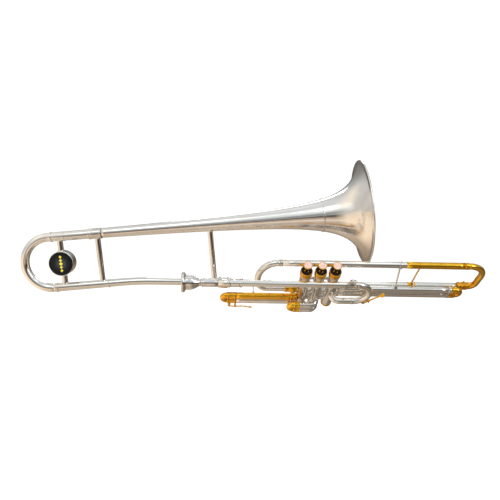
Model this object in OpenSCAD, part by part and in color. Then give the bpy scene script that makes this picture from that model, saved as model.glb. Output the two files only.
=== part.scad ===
// Valve trombone with three pistons.
// +X runs along the valve section towards the bell mouth and +Z points up, from the
// neckpipe to the bell. The origin is on the receiver's axis where the bell section
// locks to the valve section and the left hand takes hold. Millimetres throughout.

/* [Bell section] */
// Diameter of the bell over its rolled rim
bell_d = 202; // [198:1:203]
// Length of the bell stem and flare, from the ferrule to the rim
bell_len = 508; // [506:1:510]
// Distance between the bell's axis and the neckpipe
bell_gap = 100; // [99:0.5:102]
// Angle that the bell section rises from the valve section's axis, in degrees
bell_tilt = 5.8; // [5.7:0.1:6.2]
// Thickness of the bell's sheet metal
bell_wall = 0.6; // [0.5:0.1:0.8]
// Diameter of the round counterweight
weight_d = 48; // [40:1:50]
// Thickness of the counterweight
weight_t = 24; // [18:1:28]

/* [Valves] */
// Distance between neighbouring valves
valve_pitch = 26.8; // [26.6:0.1:28]
// Angle between the valves and the vertical, in degrees
valve_lean = 48; // [47.5:0.1:48.5]
// Outside diameter of a valve casing
casing_d = 20; // [19.6:0.1:20.4]
// Travel of a piston
stroke = 16; // [14:0.5:16]
// Diameter of a finger button
button_d = 16.5; // [14:0.5:17]

/* [Tubing] */
// Bore of the tubing
bore_d = 11; // [10.6:0.1:11.2]
// Thickness of a tube's wall
tube_wall = 0.5; // [0.4:0.05:0.5]
// Radial clearance of a slide's tubes and of a piston
running_gap = 0.05; // [0.03:0.01:0.08]

/* [Slides] */
// Length of the first slide's outer tubes
first_len = 119; // [110:1:120]
// Length of the third slide's outer tubes
third_len = 229; // [200:1:230]
// Length of the tuning slide's upper sleeve
sleeve_len = 112; // [100:1:114]

/* [Mouthpiece] */
// Diameter of the mouthpiece's rim
rim_d = 37.4; // [35:0.2:38]

/* [Hidden] */
$fn = 64;

silver_c = "silver";
gold_c = "goldenrod";
joint_gap = 0.03;               // solder gap between parts that are fixed together
slip = 0.01;                    // overshoot that keeps cuts clean

// Tube radii: an inner tube, and the outer tube or sleeve that slides over it.
bore_r = bore_d / 2;
inner_r = bore_r + tube_wall;
outer_ri = inner_r + running_gap;
outer_r = outer_ri + tube_wall;

// Bell section, in its own frame: x along the bell, z from the neckpipe to the bell.
bell_root = -160;               // where the bell section's axis meets the receiver's
ferrule_s = -61.5;              // start of the bell stem
rim_s = ferrule_s + bell_len;
seam_s = 368;                   // braze between the stem and the flare
bow_s = -165;                   // ends of the back bow
bow_ring_s = -158;              // rings on the back bow
flare_k = 20;                   // length constant of the flare
flare_pow = 0.718;              // exponent of the flare
bead_r = 1.5;
rim_start = 0.34;               // where the sheet leaves the rolled rim
bow_r = 9.05;                   // back bow's tube at the bell end
neck_r = 8.3;                   // neckpipe at the back bow
tenon_r = 7.2;                  // neckpipe at the receiver
neck_bend_R = 600;
bell_brace_r = 5.7;
brace_s = [-69.5, 148.5];         // rear and front brace
weight_s = -142.5;
weight_h = 48;                  // height of the counterweight above the neckpipe
face_r = weight_d / 2 - 1.2;    // black disc on the counterweight

// Places of the tubes in the valve section, each [y, z].
lead_at = [-80, 17];
top_at = [-57, 51.8];
valve_at = [-40.5, 9.5];        // where the valves' axes cross the section
valve_x = 160.3;                  // first valve
function valve_pos(i) = valve_x + i * valve_pitch;
// Row position of a point n across and t along the valves.
function from_valve(n, t) = [valve_at[0] + n * cos(valve_lean) - t * sin(valve_lean),
    valve_at[1] + n * sin(valve_lean) + t * cos(valve_lean)];

// Heights along the valves of the tubes that meet the casings.
exit_t = -20;
first_t = [-46.5, -64];
second_t = [-42.5, -59.5];
third_t = [-17.5, -34.5];
knuckle_t = -28;
entry_t = -19;
first_n = -4;
second_n = -24;
entry_n = -26;

casing_r = casing_d / 2;
casing_ri = casing_r - 1;
casing_span = [-71, 43.4];
cap_r = 11.5;
cap_span = [36, 49];
cap_floor = [43.5, 46];         // disc of the top cap
foot_span = [-79, -70.6];       // bottom cap
piston_r = casing_ri - running_gap;
piston_span = [-52, 13];
barrel_top = 40;
stem_r = 2.6;
button_t = 65;                  // underside of a finger button at rest
felt_t = 2.5;
guide_t = [14, 16];
guide_w = 3.6;
spring_span = [17, 38.5];
spring_wire = 0.45;
spring_R = 6.6;
spring_turns = 5;

lead_bow_x = 255;               // where the leadpipe's bow begins
exit_reach = 72.5;              // leftmost line of the exit bow
exit_R = [40, 18];
top_join = exit_reach + exit_R[0];
tuning_x = 351;                 // open end of the upper sleeve
tuning_end = [tuning_x + sleeve_len, tuning_x + sleeve_len + 10];
tuning_ferrule = [7.5, 19.5];   // lengths of the upper and lower ferrules
tuning_R = [36, 14];
tuning_key_x = tuning_end[1] + 6;
tuning_key_turn = -70;          // its lever runs behind the bow
lower_start = 374;              // open end of the lower sleeve
tuning_overlap = 20;            // how far the inner tubes stop short of the ferrules
first_end = valve_x - casing_r - first_len;
third_end = valve_pos(2) + casing_r + third_len;
first_at = [for (t = first_t) from_valve(first_n, t)];
second_at = [for (t = second_t) from_valve(second_n, t)];
third_at = [for (t = third_t) from_valve(0, t)];
exit_at = from_valve(0, exit_t);
entry_at = from_valve(entry_n, entry_t);
second_elbow_R = 11;
entry_elbow_R = 14;
second_mouth = 157;             // open ends of the second slide's outer tubes
receiver_mouth = 4;
receiver_len = 34;
mouth_x = -32.5;                // mouth of the mouthpiece receiver
shank_r = 5.9;                  // mouthpiece's shank
brace_x = 28;                   // hand brace
front_brace_x = 243;
lyre_x = 239;
lyre_len = 9;
lyre_z = 9.6;                   // height of the hole above the leadpipe's axis
lyre_hole_r = 2.4;
lyre_screw_r = 1.5;
lyre_turn = 50;                 // angle of the clip round the leadpipe, from the top
key_open_z = 3.2;               // height of a water key's nipple above the tube

// ---- Shapes that repeat ----

module ring_2d(ro, ri) {
    difference() {
        circle(ro);
        circle(ri);
    }
}

// Tube along X from x0 to x1 at [y, z].
module x_tube(x0, x1, ro, ri, at = [0, 0]) {
    translate([x0, at[0], at[1]])
        rotate([0, 90, 0])
            linear_extrude(x1 - x0) ring_2d(ro, ri);
}

// Solid rod along X.
module x_rod(x0, x1, r, at = [0, 0]) {
    translate([x0, at[0], at[1]])
        rotate([0, 90, 0])
            cylinder(h = x1 - x0, r = r);
}

// Tapered tube along X, from radius r0 to r1, with the tubing's wall.
module x_cone(x0, x1, r0, r1, wall = tube_wall) {
    translate([x0, 0, 0])
        rotate([0, 90, 0])
            difference() {
                cylinder(h = x1 - x0, r1 = r0, r2 = r1);
                translate([0, 0, -slip])
                    cylinder(h = x1 - x0 + 2 * slip, r1 = r0 - wall, r2 = r1 - wall);
            }
}

// Bent tube about the Z axis, starting on +X.
module arc_tube(R, ro, ri, angle) {
    rotate_extrude(angle = angle) translate([R, 0]) ring_2d(ro, ri);
}

// Frame between two tubes: y runs from tube p to tube q, and z is square to both.
module between(x, p, q) {
    translate([x, (p[0] + q[0]) / 2, (p[1] + q[1]) / 2])
        rotate([atan2(q[1] - p[1], q[0] - p[0]), 0, 0])
            children();
}

// Half-circle bow that joins tubes p and q, whose ends are at x. Side is 1 towards +X.
module u_bow(p, q, x, ro, ri, side = 1) {
    between(x, p, q)
        rotate([0, 0, side * -90]) arc_tube(norm(q - p) / 2, ro, ri, 180);
}

// Crook that joins tubes p and q: two quarter bends with a straight between them.
module crook(p, q, reach, Rp, Rq, ro, ri, side = 1) {
    h = norm(q - p) / 2;
    turn_p = side > 0 ? -90 : 180;
    turn_q = side > 0 ? 0 : 90;
    between(reach, p, q) {
        translate([-side * Rp, Rp - h, 0]) rotate([0, 0, turn_p]) arc_tube(Rp, ro, ri, 90);
        translate([-side * Rq, h - Rq, 0]) rotate([0, 0, turn_q]) arc_tube(Rq, ro, ri, 90);
        translate([0, Rp - h, 0])
            rotate([-90, 0, 0])
                linear_extrude(2 * h - Rp - Rq) ring_2d(ro, ri);
    }
}

// Turned ring with a rounded outside, round a tube of radius r.
module bead_ring(x, w, r, rise, at = [0, 0]) {
    translate([x, at[0], at[1]])
        rotate([0, 90, 0])
            rotate_extrude()
                difference() {
                    union() {
                        translate([r, 0]) square([rise * 0.5, w]);
                        translate([r + rise * 0.5, w / 2])
                            scale([rise * 0.5, w / 2]) circle(1, $fn = 24);
                    }
                    square([r + joint_gap, 3 * w], center = true);
                }
}

// Post between tubes p and q with a turned flange on each, cut to their surfaces.
module post(x, p, q, rp, rq, r, flange) {
    h = norm(q - p) / 2;
    flange_t = 1.6;
    difference() {
        between(x, p, q)
            rotate([-90, 0, 0]) {
                translate([0, 0, -h]) cylinder(h = 2 * h, r = r);
                translate([0, 0, -h]) cylinder(h = rp + flange_t, r = flange);
                translate([0, 0, h - rq - flange_t]) cylinder(h = rq + flange_t, r = flange);
            }
        x_rod(x - 2 * flange, x + 2 * flange, rp + joint_gap, p);
        x_rod(x - 2 * flange, x + 2 * flange, rq + joint_gap, q);
    }
}

module in_bell() {
    translate([bell_root, 0, 0]) rotate([0, -bell_tilt, 0]) children();
}

// Frame of the valves: x along the row, y across it, z along the pistons.
module in_valves() {
    translate([0, valve_at[0], valve_at[1]]) rotate([valve_lean, 0, 0]) children();
}

module each_valve() {
    for (i = [0:2]) in_valves() translate([valve_pos(i), 0, 0]) children();
}

module casing_cut() {
    each_valve() translate([0, 0, -90]) cylinder(h = 160, r = casing_r + joint_gap);
}

// ---- Water keys. x runs from the cork to the touch piece, and z out of the tube ----

key_hinge = [12, 0, 4.2];       // pin, above the tube's surface
key_pin_r = 0.9;

module key_saddle(r) {
    difference() {
        union() {
            cylinder(h = r + key_open_z, r = 2.6);
            for (s = [-1, 1])
                translate([key_hinge[0] - 2, s * 3.4 - 0.7, 0])
                    cube([4, 1.4, r + key_hinge[2] + 1.8]);
            translate([key_hinge[0], 0, r + key_hinge[2]])
                rotate([90, 0, 0]) cylinder(h = 8.6, r = key_pin_r, center = true);
        }
        translate([0, 0, -slip]) cylinder(h = r + key_open_z + 1, r = 1.4);
    }
}

module key_lever(r) {
    arm_w = 2.4;
    touch_x = 42;
    touch_z = 6.5;
    translate([0, 0, r]) {
        translate([0, 0, key_open_z + joint_gap]) cylinder(h = 2, r = 3);
        translate([-1, -arm_w / 2, key_open_z + 1.6]) cube([key_hinge[0], arm_w, 1.8]);
        difference() {
            translate([key_hinge[0], 0, key_hinge[2]])
                rotate([90, 0, 0]) cylinder(h = 5, r = 2.1, center = true);
            translate([key_hinge[0], 0, key_hinge[2]])
                rotate([90, 0, 0])
                    cylinder(h = 6, r = key_pin_r + running_gap, center = true);
        }
        translate([key_hinge[0] + 1, -arm_w / 2, key_hinge[2] + 0.6])
            rotate([0, -atan2(touch_z - key_hinge[2], touch_x - key_hinge[0]), 0])
                cube([touch_x - key_hinge[0] - 2, arm_w, 1.6]);
        translate([touch_x, 0, touch_z]) cylinder(h = 1.6, r = 4.5);
    }
}

// ---- Bell section ----

// Outside radius of the bell at distance d from its rim: a Bessel horn.
function flare(d) = (bell_d / 2 - bead_r) * pow(1 + d / flare_k, -flare_pow);
function flare_slope(d) = flare_pow * flare(d) / (flare_k + d);
// Point of the bell's sheet, w inside its outer face, as [radius, distance from rim].
function flare_point(d, w) = let (a = atan(flare_slope(d)))
    [flare(d) - w * cos(a), d - w * sin(a)];

module flare_sheet(d0, d1, steps) {
    dd = [for (i = [0:steps]) d0 + (d1 - d0) * pow(i / steps, 1.9)];
    outside = [for (d = dd) flare_point(d, 0)];
    inside = [for (i = [steps:-1:0])
        let (p = flare_point(dd[i], bell_wall))
            i == 0 ? [p[0], d0] : i == steps ? [p[0], d1] : p];
    translate([rim_s, 0, bell_gap])
        rotate([0, -90, 0])
            rotate_extrude() polygon(concat(outside, inside));
}

module bell_flare() {
    color(silver_c) in_bell() {
        flare_sheet(rim_start, rim_s - seam_s, 26);
        translate([rim_s, 0, bell_gap])
            rotate([0, -90, 0])
                rotate_extrude()
                    translate([bell_d / 2 - bead_r, bead_r * 0.2])
                        ring_2d(bead_r, bead_r - 0.5);
    }
}

module bell_stem() {
    color(silver_c) in_bell() flare_sheet(rim_s - seam_s, bell_len, 18);
}

module bell_rim_wire() {
    color(silver_c) in_bell()
        translate([rim_s, 0, bell_gap])
            rotate([0, -90, 0])
                rotate_extrude()
                    translate([bell_d / 2 - bead_r, bead_r * 0.2])
                        circle(bead_r - 0.5 - joint_gap);
}

module bell_ferrules() {
    color(silver_c) in_bell() {
        x_tube(ferrule_s - 22.5, ferrule_s, bow_r + 1.1, bow_r + joint_gap, [0, bell_gap]);
        bead_ring(ferrule_s - 24, 3, bow_r + 1.1, 0.5, [0, bell_gap]);
        bead_ring(ferrule_s - 1.5, 3, bow_r + 1.1, 0.5, [0, bell_gap]);
        bead_ring(bow_ring_s - 2, 4, bow_r, 0.8, [0, bell_gap]);
        bead_ring(bow_ring_s + 23, 3, bow_r, 0.6, [0, bell_gap]);
        bead_ring(bow_ring_s - 2, 4, neck_r, 0.8);
        bead_ring(-59, 3, 7.65, 0.7);
        bead_ring(seam_s - 1.5, 3, flare(rim_s - seam_s) + 0.4, 0.6, [0, bell_gap]);
    }
}

module back_bow() {
    h = bell_gap / 2;
    color(silver_c) in_bell() {
        translate([bow_s, 0, h])
            rotate([90, 0, 0])
                rotate([0, 0, 90]) arc_tube(h, neck_r, neck_r - tube_wall, 180);
        translate([0, 0, bell_gap]) x_cone(bow_s, bow_s + 16, neck_r, bow_r);
        x_tube(bow_s + 16, ferrule_s, bow_r, bow_r - tube_wall, [0, bell_gap]);
    }
}

module counterweight() {
    color(silver_c) in_bell()
        translate([weight_s, 0, weight_h])
            rotate([90, 0, 0])
                rotate_extrude()
                    polygon([[0, -weight_t / 2], [weight_d / 2 - 1.5, -weight_t / 2],
                        [weight_d / 2, 1.5 - weight_t / 2], [weight_d / 2, weight_t / 2 - 1],
                        [weight_d / 2 - 0.7, weight_t / 2], [face_r, weight_t / 2],
                        [face_r, weight_t / 2 - 1.2], [0, weight_t / 2 - 1.2]]);
}

module counterweight_face() {
    color("black") in_bell()
        translate([weight_s, -weight_t / 2 + 1.2 - joint_gap, weight_h])
            rotate([90, 0, 0])
                cylinder(h = 1.4, r = face_r - joint_gap);
}

module counterweight_stubs() {
    stub_r = 5.9;
    color(silver_c) in_bell()
        difference() {
            translate([weight_s, 0, 0]) cylinder(h = bell_gap, r = stub_r);
            x_rod(weight_s - 20, weight_s + 20, neck_r + joint_gap);
            x_rod(weight_s - 20, weight_s + 20, bow_r + joint_gap, [0, bell_gap]);
            translate([weight_s, 0, weight_h])
                rotate([90, 0, 0])
                    cylinder(h = 40, r = weight_d / 2 + joint_gap, center = true);
        }
}

// Straight of the neckpipe that reaches under the bell, before it bends to the receiver.
neck_s = -neck_bend_R * tan(bell_tilt / 2);
function neck_taper(s) = neck_r + (tenon_r - neck_r) * (s - bow_s) / (neck_s - bow_s);

module neckpipe() {
    color(silver_c) {
        in_bell() x_cone(bow_s, neck_s, neck_r, tenon_r);
        translate([bell_root - neck_s, 0, -neck_bend_R])
            rotate([90, 0, 0])
                rotate([0, 0, 90])
                    arc_tube(neck_bend_R, tenon_r, tenon_r - tube_wall, bell_tilt);
        x_tube(bell_root - neck_s, receiver_mouth, tenon_r, bore_r);
        x_tube(receiver_mouth - 7, receiver_mouth, tenon_r + 1.3, tenon_r - slip);
        x_tube(receiver_mouth, receiver_mouth + 26, tenon_r, bore_r);
    }
}

module bell_braces() {
    front_s = brace_s[1];
    color(silver_c) {
        in_bell()
            difference() {
                translate([brace_s[0], 0, 0]) cylinder(h = bell_gap, r = bell_brace_r);
                x_rod(brace_s[0] - 20, brace_s[0] + 20, bow_r + 1.1 + joint_gap,
                    [0, bell_gap]);
                x_rod(brace_s[0] - 20, brace_s[0] + 20, neck_taper(brace_s[0]) + 0.2);
            }
        difference() {
            in_bell() translate([front_s, 0, -20]) cylinder(h = bell_gap + 20, r = bell_brace_r);
            in_bell()
                x_rod(front_s - 20, front_s + 20, flare(rim_s - front_s) + 0.35,
                    [0, bell_gap]);
            translate([-60, -20, -40]) cube([80, 40, 40]);
            x_rod(-60, 20, tenon_r + joint_gap);
        }
    }
}

module bell_lock_nut() {
    lobes = 10;
    nut_x = [-5.2, 20];
    lobe_x = [-3, 15];
    bore_x = receiver_mouth - 7.5;
    color(silver_c)
        rotate([0, 90, 0])
            difference() {
                union() {
                    translate([0, 0, nut_x[0]])
                        cylinder(h = nut_x[1] - nut_x[0], r = 10.4);
                    for (k = [0:lobes - 1])
                        rotate([0, 0, k * 360 / lobes])
                            translate([9.6, 0, lobe_x[0]])
                                cylinder(h = lobe_x[1] - lobe_x[0], r = 1.9, $fn = 24);
                }
                translate([0, 0, nut_x[0] - 1]) cylinder(h = 40, r = tenon_r + 0.4);
                translate([0, 0, bore_x]) cylinder(h = 40, r = 9.25);
            }
}

// ---- Tubes of the valve section ----

module bell_receiver() {
    x0 = receiver_mouth;
    x1 = x0 + receiver_len;
    color(silver_c) {
        x_tube(x0, x1, 9.1, tenon_r + running_gap);
        x_tube(x1, x1 + 6, 9.1, inner_r);
        bead_ring(x1 + 1, 4, 9.1, 0.8);
    }
}

module return_tube() {
    color(silver_c)
        x_tube(receiver_mouth + receiver_len, tuning_end[1] - tuning_overlap,
            inner_r, bore_r);
}

module mouthpiece_receiver() {
    color(silver_c)
        translate([mouth_x, lead_at[0], lead_at[1]])
            rotate([0, 90, 0])
                difference() {
                    union() {
                        cylinder(h = 25, r = 7.9);
                        translate([0, 0, 25]) cylinder(h = 5, r1 = 7.9, r2 = 6.9);
                    }
                    translate([0, 0, -slip]) cylinder(h = 24, r = shank_r + running_gap);
                    translate([0, 0, 23.9]) cylinder(h = 20, r = inner_r + joint_gap);
                }
}

module leadpipe() {
    color(silver_c) x_tube(mouth_x + 24, lead_bow_x, inner_r, bore_r, lead_at);
}

module leadpipe_bow() {
    elbow_x = valve_pos(2) + entry_elbow_R;
    color(silver_c) {
        u_bow(lead_at, entry_at, lead_bow_x + joint_gap, inner_r, bore_r);
        x_tube(elbow_x + joint_gap, lead_bow_x, inner_r, bore_r, entry_at);
        in_valves()
            translate([elbow_x, entry_n + entry_elbow_R, entry_t])
                rotate([0, 0, 180]) arc_tube(entry_elbow_R, inner_r, bore_r, 90);
        difference() {
            in_valves()
                translate([valve_pos(2), entry_n + entry_elbow_R, entry_t])
                    rotate([-90, 0, 0])
                        linear_extrude(5) ring_2d(inner_r, bore_r);
            casing_cut();
        }
    }
}

module exit_bow() {
    color(silver_c) {
        crook(top_at, exit_at, exit_reach, exit_R[0], exit_R[1],
            inner_r, bore_r, -1);
        difference() {
            x_tube(exit_reach + exit_R[1] + joint_gap, valve_x - 5, inner_r,
                bore_r, exit_at);
            casing_cut();
        }
    }
}

// Round gold ferrules beside the first casing.
module exit_ferrules() {
    ferrule_end = valve_x - casing_r - 1;
    color(gold_c)
        difference() {
            union() {
                bead_ring(ferrule_end - 24, 24, inner_r, 1.6, exit_at);
                bead_ring(ferrule_end - 10, 10, outer_r, 1.2, first_at[0]);
            }
            casing_cut();
        }
}

module top_tube() {
    color(silver_c)
        x_tube(top_join, tuning_end[0] - tuning_overlap, inner_r, bore_r, top_at);
}

module first_outer_upper() {
    color(gold_c)
        difference() {
            x_tube(first_end, valve_x - 5, outer_r, outer_ri, first_at[0]);
            casing_cut();
        }
}

module first_outer_lower() {
    color(silver_c)
        difference() {
            x_tube(first_end, valve_x - 5, outer_r, outer_ri, first_at[1]);
            casing_cut();
        }
}

module second_outer() {
    elbow_x = valve_pos(1) - second_elbow_R;
    color(silver_c)
        difference() {
            for (k = [0, 1]) {
                x_tube(second_mouth, elbow_x, outer_r, outer_ri, second_at[k]);
                in_valves() {
                    translate([elbow_x, second_n + second_elbow_R, second_t[k]])
                        rotate([0, 0, -90])
                            arc_tube(second_elbow_R, outer_r, outer_ri, 90);
                    translate([valve_pos(1), second_n + second_elbow_R, second_t[k]])
                        rotate([-90, 0, 0]) linear_extrude(5) ring_2d(outer_r, outer_ri);
                }
            }
            casing_cut();
        }
}

module third_outer() {
    color(silver_c)
        difference() {
            for (at = third_at)
                x_tube(valve_pos(2) + 5, third_end, outer_r, outer_ri, at);
            casing_cut();
        }
}

// Turned rings soldered round the fixed tubes.
module tube_rings() {
    color(silver_c) {
        bead_ring(16, 5.5, inner_r, 0.9, lead_at);
        bead_ring(35, 3, inner_r, 0.7, lead_at);
        bead_ring(lead_bow_x - 4, 4, inner_r, 0.8, lead_at);
        bead_ring(lead_bow_x - 4, 4, inner_r, 0.8, entry_at);
        bead_ring(top_join, 4, inner_r, 0.8, top_at);
        for (at = third_at) bead_ring(third_end - 6, 4, outer_r, 0.6, at);
        for (at = second_at) bead_ring(second_mouth, 4, outer_r, 0.6, at);
    }
}

module hand_brace() {
    color(silver_c)
        post(brace_x, lead_at, [0, 0], inner_r, 9.1, 3.6, 6);
}

module tube_braces() {
    color(silver_c) {
        difference() {
            post(front_brace_x, lead_at, [0, 0], inner_r, inner_r, 2.2, 5);
            x_rod(front_brace_x - 10, front_brace_x + 10, outer_r + joint_gap, third_at[0]);
        }
        post(tuning_x - 11, top_at, third_at[0], inner_r, outer_r, 1.6, 5);
        post(65.5, [0, 0], first_at[0], inner_r, outer_r, 0.9, 3);
    }
}

// Clip for a music lyre: the lyre's stem goes in along X and the screw holds it.
module in_lyre() {
    translate([lyre_x, lead_at[0], lead_at[1]]) rotate([lyre_turn, 0, 0]) children();
}

module lyre_socket() {
    color(silver_c)
        difference() {
            in_lyre() {
                translate([0, -3.6, 0]) cube([lyre_len, 7.2, lyre_z + 3.6]);
                translate([lyre_len / 2, 0, 0]) cylinder(h = lyre_z + 5.4, r = 3);
            }
            x_rod(lyre_x - 10, lyre_x + 30, inner_r + joint_gap, lead_at);
            in_lyre() {
                x_rod(-1, lyre_len + 1, lyre_hole_r, [0, lyre_z]);
                translate([lyre_len / 2, 0, lyre_z]) cylinder(h = 10, r = lyre_screw_r);
            }
        }
}

module lyre_screw() {
    color(silver_c)
        in_lyre()
            translate([lyre_len / 2, 0, lyre_z + lyre_hole_r + 0.3]) {
                cylinder(h = 5, r = lyre_screw_r - running_gap);
                translate([0, 0, 4]) cylinder(h = 2.4, r = 2.8);
                translate([-5.5, -0.8, 5]) cube([11, 1.6, 5]);
            }
}

// ---- Valves ----

module valve_casings() {
    color(silver_c)
        difference() {
            union() {
                each_valve()
                    translate([0, 0, casing_span[0]])
                        cylinder(h = casing_span[1] - casing_span[0], r = casing_r);
                in_valves() for (i = [0, 1], t = [knuckle_t, -50, 22])
                    translate([valve_pos(i), 0, t])
                        rotate([0, 90, 0]) cylinder(h = valve_pitch, r = t > 0 ? 3 : outer_r);
            }
            each_valve()
                translate([0, 0, casing_span[0] - 1])
                    cylinder(h = casing_span[1] - casing_span[0] + 2, r = casing_ri);
            in_valves() {
                for (t = [knuckle_t, -50])
                    translate([valve_x, 0, t])
                        rotate([0, 90, 0]) cylinder(h = 2 * valve_pitch, r = bore_r);
                translate([valve_x, 0, exit_t])
                    rotate([0, -90, 0]) cylinder(h = 20, r = bore_r);
                for (t = first_t)
                    translate([valve_x, first_n, t])
                        rotate([0, -90, 0]) cylinder(h = 20, r = 4.5);
                for (t = third_t)
                    translate([valve_pos(2), 0, t])
                        rotate([0, 90, 0]) cylinder(h = 20, r = bore_r);
                for (t = second_t)
                    translate([valve_pos(1), 0, t])
                        rotate([90, 0, 0]) cylinder(h = 20, r = bore_r);
                translate([valve_pos(2), 0, entry_t])
                    rotate([90, 0, 0]) cylinder(h = 20, r = bore_r);
            }
        }
}

module top_caps() {
    color(gold_c)
        each_valve()
            difference() {
                translate([0, 0, cap_span[0]])
                    cylinder(h = cap_span[1] - cap_span[0], r = cap_r);
                translate([0, 0, cap_span[0] - 1])
                    cylinder(h = cap_floor[0] - cap_span[0] + 1, r = casing_r + joint_gap);
                translate([0, 0, cap_floor[0] - 1]) cylinder(h = 10, r = stem_r + 0.4);
                translate([0, 0, cap_floor[1]]) cylinder(h = 10, r = 10.2);
            }
}

module bottom_caps() {
    color(gold_c)
        each_valve()
            difference() {
                union() {
                    translate([0, 0, foot_span[0] + 4])
                        cylinder(h = foot_span[1] - foot_span[0] - 4, r = casing_r + 0.6);
                    translate([0, 0, foot_span[0]])
                        cylinder(h = 4, r1 = 6, r2 = casing_r + 0.6);
                    translate([0, 0, foot_span[0] - 2]) cylinder(h = 4, r = 3.2);
                }
                translate([0, 0, casing_span[0]]) cylinder(h = 10, r = casing_r + joint_gap);
                translate([0, 0, foot_span[0] + 3]) cylinder(h = 10, r = 7);
            }
}

module cap_felts() {
    color("black")
        each_valve()
            translate([0, 0, cap_floor[1] + joint_gap])
                linear_extrude(felt_t - 2 * joint_gap) ring_2d(9.9, 4);
}

module piston() {
    x_ports = [knuckle_t, knuckle_t - stroke];
    color(silver_c)
        difference() {
            translate([0, 0, piston_span[0]])
                cylinder(h = barrel_top - piston_span[0], r = piston_r);
            for (t = x_ports)
                translate([0, 0, t]) rotate([0, 90, 0]) cylinder(h = 60, r = bore_r, center = true);
            translate([0, 0, -17]) cylinder(h = barrel_top + 17 - 1.4, r = piston_r - 1);
            translate([0, 0, guide_t[0] - 1])
                for (k = [0, 1])
                    rotate([0, 0, 90 * k])
                        translate([-20, -guide_w / 2 - 0.08, 0])
                            cube([40, guide_w + 0.16, guide_t[1] - guide_t[0] + stroke + 2]);
        }
}

// Cross that is fixed in each casing and keeps its piston from turning.
module valve_guides() {
    color("gold")
        each_valve()
            intersection() {
                translate([0, 0, guide_t[0]])
                    cylinder(h = guide_t[1] - guide_t[0], r = casing_ri - joint_gap);
                for (k = [0, 1])
                    rotate([0, 0, 90 * k])
                        translate([-20, -guide_w / 2, 0]) cube([40, guide_w, 30]);
            }
}

module button() {
    color(gold_c) {
        translate([0, 0, barrel_top]) cylinder(h = 3, r = 5.5);
        translate([0, 0, barrel_top + 3]) cylinder(h = button_t - barrel_top - 3, r = stem_r);
        translate([0, 0, button_t]) {
            cylinder(h = 1.4, r1 = 5.5, r2 = button_d / 2);
            translate([0, 0, 1.4])
                difference() {
                    cylinder(h = 2.4, r = button_d / 2);
                    translate([0, 0, 0.6]) cylinder(h = 3, r = button_d / 2 - 0.8);
                }
        }
    }
}

module pearl() {
    color("linen")
        translate([0, 0, button_t + 2 + joint_gap])
            cylinder(h = 2.2, r1 = button_d / 2 - 0.8 - joint_gap, r2 = button_d / 2 - 1.6);
}

// Helical spring between the guide and the top of the barrel.
module spring() {
    rings = spring_turns * 10;
    sides = 6;
    rise = (spring_span[1] - spring_span[0] - 2 * spring_wire) / rings;
    points = [for (i = [0:rings], k = [0:sides - 1])
        let (a = i * 36, b = k * 360 / sides, rr = spring_R + spring_wire * cos(b))
            [rr * cos(a), rr * sin(a),
                spring_span[0] + spring_wire + i * rise + spring_wire * sin(b)]];
    skin = [for (i = [0:rings - 1], k = [0:sides - 1])
        let (n = (k + 1) % sides)
            [i * sides + k, i * sides + n, (i + 1) * sides + n, (i + 1) * sides + k]];
    start = [for (k = [sides - 1:-1:0]) k];
    stop = [for (k = [0:sides - 1]) rings * sides + k];
    color(silver_c) polyhedron(points = points, faces = concat(skin, [start, stop]));
}

module at_valve(i) {
    in_valves() translate([valve_pos(i), 0, 0]) children();
}

// ---- Mouthpiece ----

module mouthpiece() {
    r = rim_d / 2;
    outside = concat([[12.9, 0.6]],
        [for (a = [150:-15:-60]) [r - 3.2 + 3.2 * cos(a), 4 - 3.4 * sin(a)]],
        [[14.3, 9], [13.6, 10], [13.6, 13], [13.3, 18], [12.3, 23], [9.9, 28],
            [7.2, 32.5], [6.1, 36], [shank_r, 37], [shank_r, 60]]);
    inside = [[4.6, 60], [3.4, 38], [3.2, 28], [5.5, 24], [9.5, 17], [11.8, 9], [12.4, 4]];
    color(silver_c)
        translate([mouth_x - 37, lead_at[0], lead_at[1]])
            rotate([0, 90, 0])
                rotate_extrude() polygon(concat(outside, inside));
}

// ---- Slides ----

module tuning_upper_sleeve() {
    color(gold_c) x_tube(tuning_x, tuning_end[0], outer_r, outer_ri, top_at);
}

module tuning_lower_sleeve() {
    color(silver_c) x_tube(lower_start, tuning_end[1], outer_r, outer_ri);
}

module in_tuning_key() {
    translate([tuning_key_x, 0, 0]) rotate([tuning_key_turn, 0, 0]) children();
}

module tuning_bow() {
    reach = tuning_end[0] + tuning_ferrule[0] + tuning_R[0];
    places = [top_at, [0, 0]];
    ferrule_r = outer_r + 0.5;
    color(gold_c) {
        crook(top_at, [0, 0], reach, tuning_R[0], tuning_R[1], inner_r, bore_r);
        for (k = [0, 1]) {
            x_tube(tuning_end[k], reach - tuning_R[k] - joint_gap, ferrule_r, inner_r, places[k]);
            bead_ring(tuning_end[k], 3, ferrule_r, 0.6, places[k]);
        }
        difference() {
            in_tuning_key() key_saddle(ferrule_r);
            x_rod(tuning_end[1] - 5, tuning_end[1] + 40, ferrule_r - slip);
        }
    }
}

module tuning_key_lever() {
    color(gold_c) in_tuning_key() key_lever(outer_r + 0.5);
}

module tuning_brace() {
    color(gold_c) {
        post(lower_start + 5, top_at, [0, 0], outer_r, outer_r, 1.5, 4.5);
        bead_ring(lower_start - 1, 3, outer_r, 0.7);
        bead_ring(lower_start + 11, 3, outer_r, 0.7);
    }
}

// Bow of a slide with a ferrule on each of its legs.
module slide_bow(at, x_face, side, rp, rq, ferrule) {
    x_in = min(x_face, x_face + side * ferrule);
    color(gold_c) {
        u_bow(at[0], at[1], x_face + side * (ferrule + joint_gap), inner_r, bore_r, side);
        x_tube(x_in, x_in + ferrule, rp, bore_r, at[0]);
        x_tube(x_in, x_in + ferrule, rq, bore_r, at[1]);
    }
}

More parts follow.
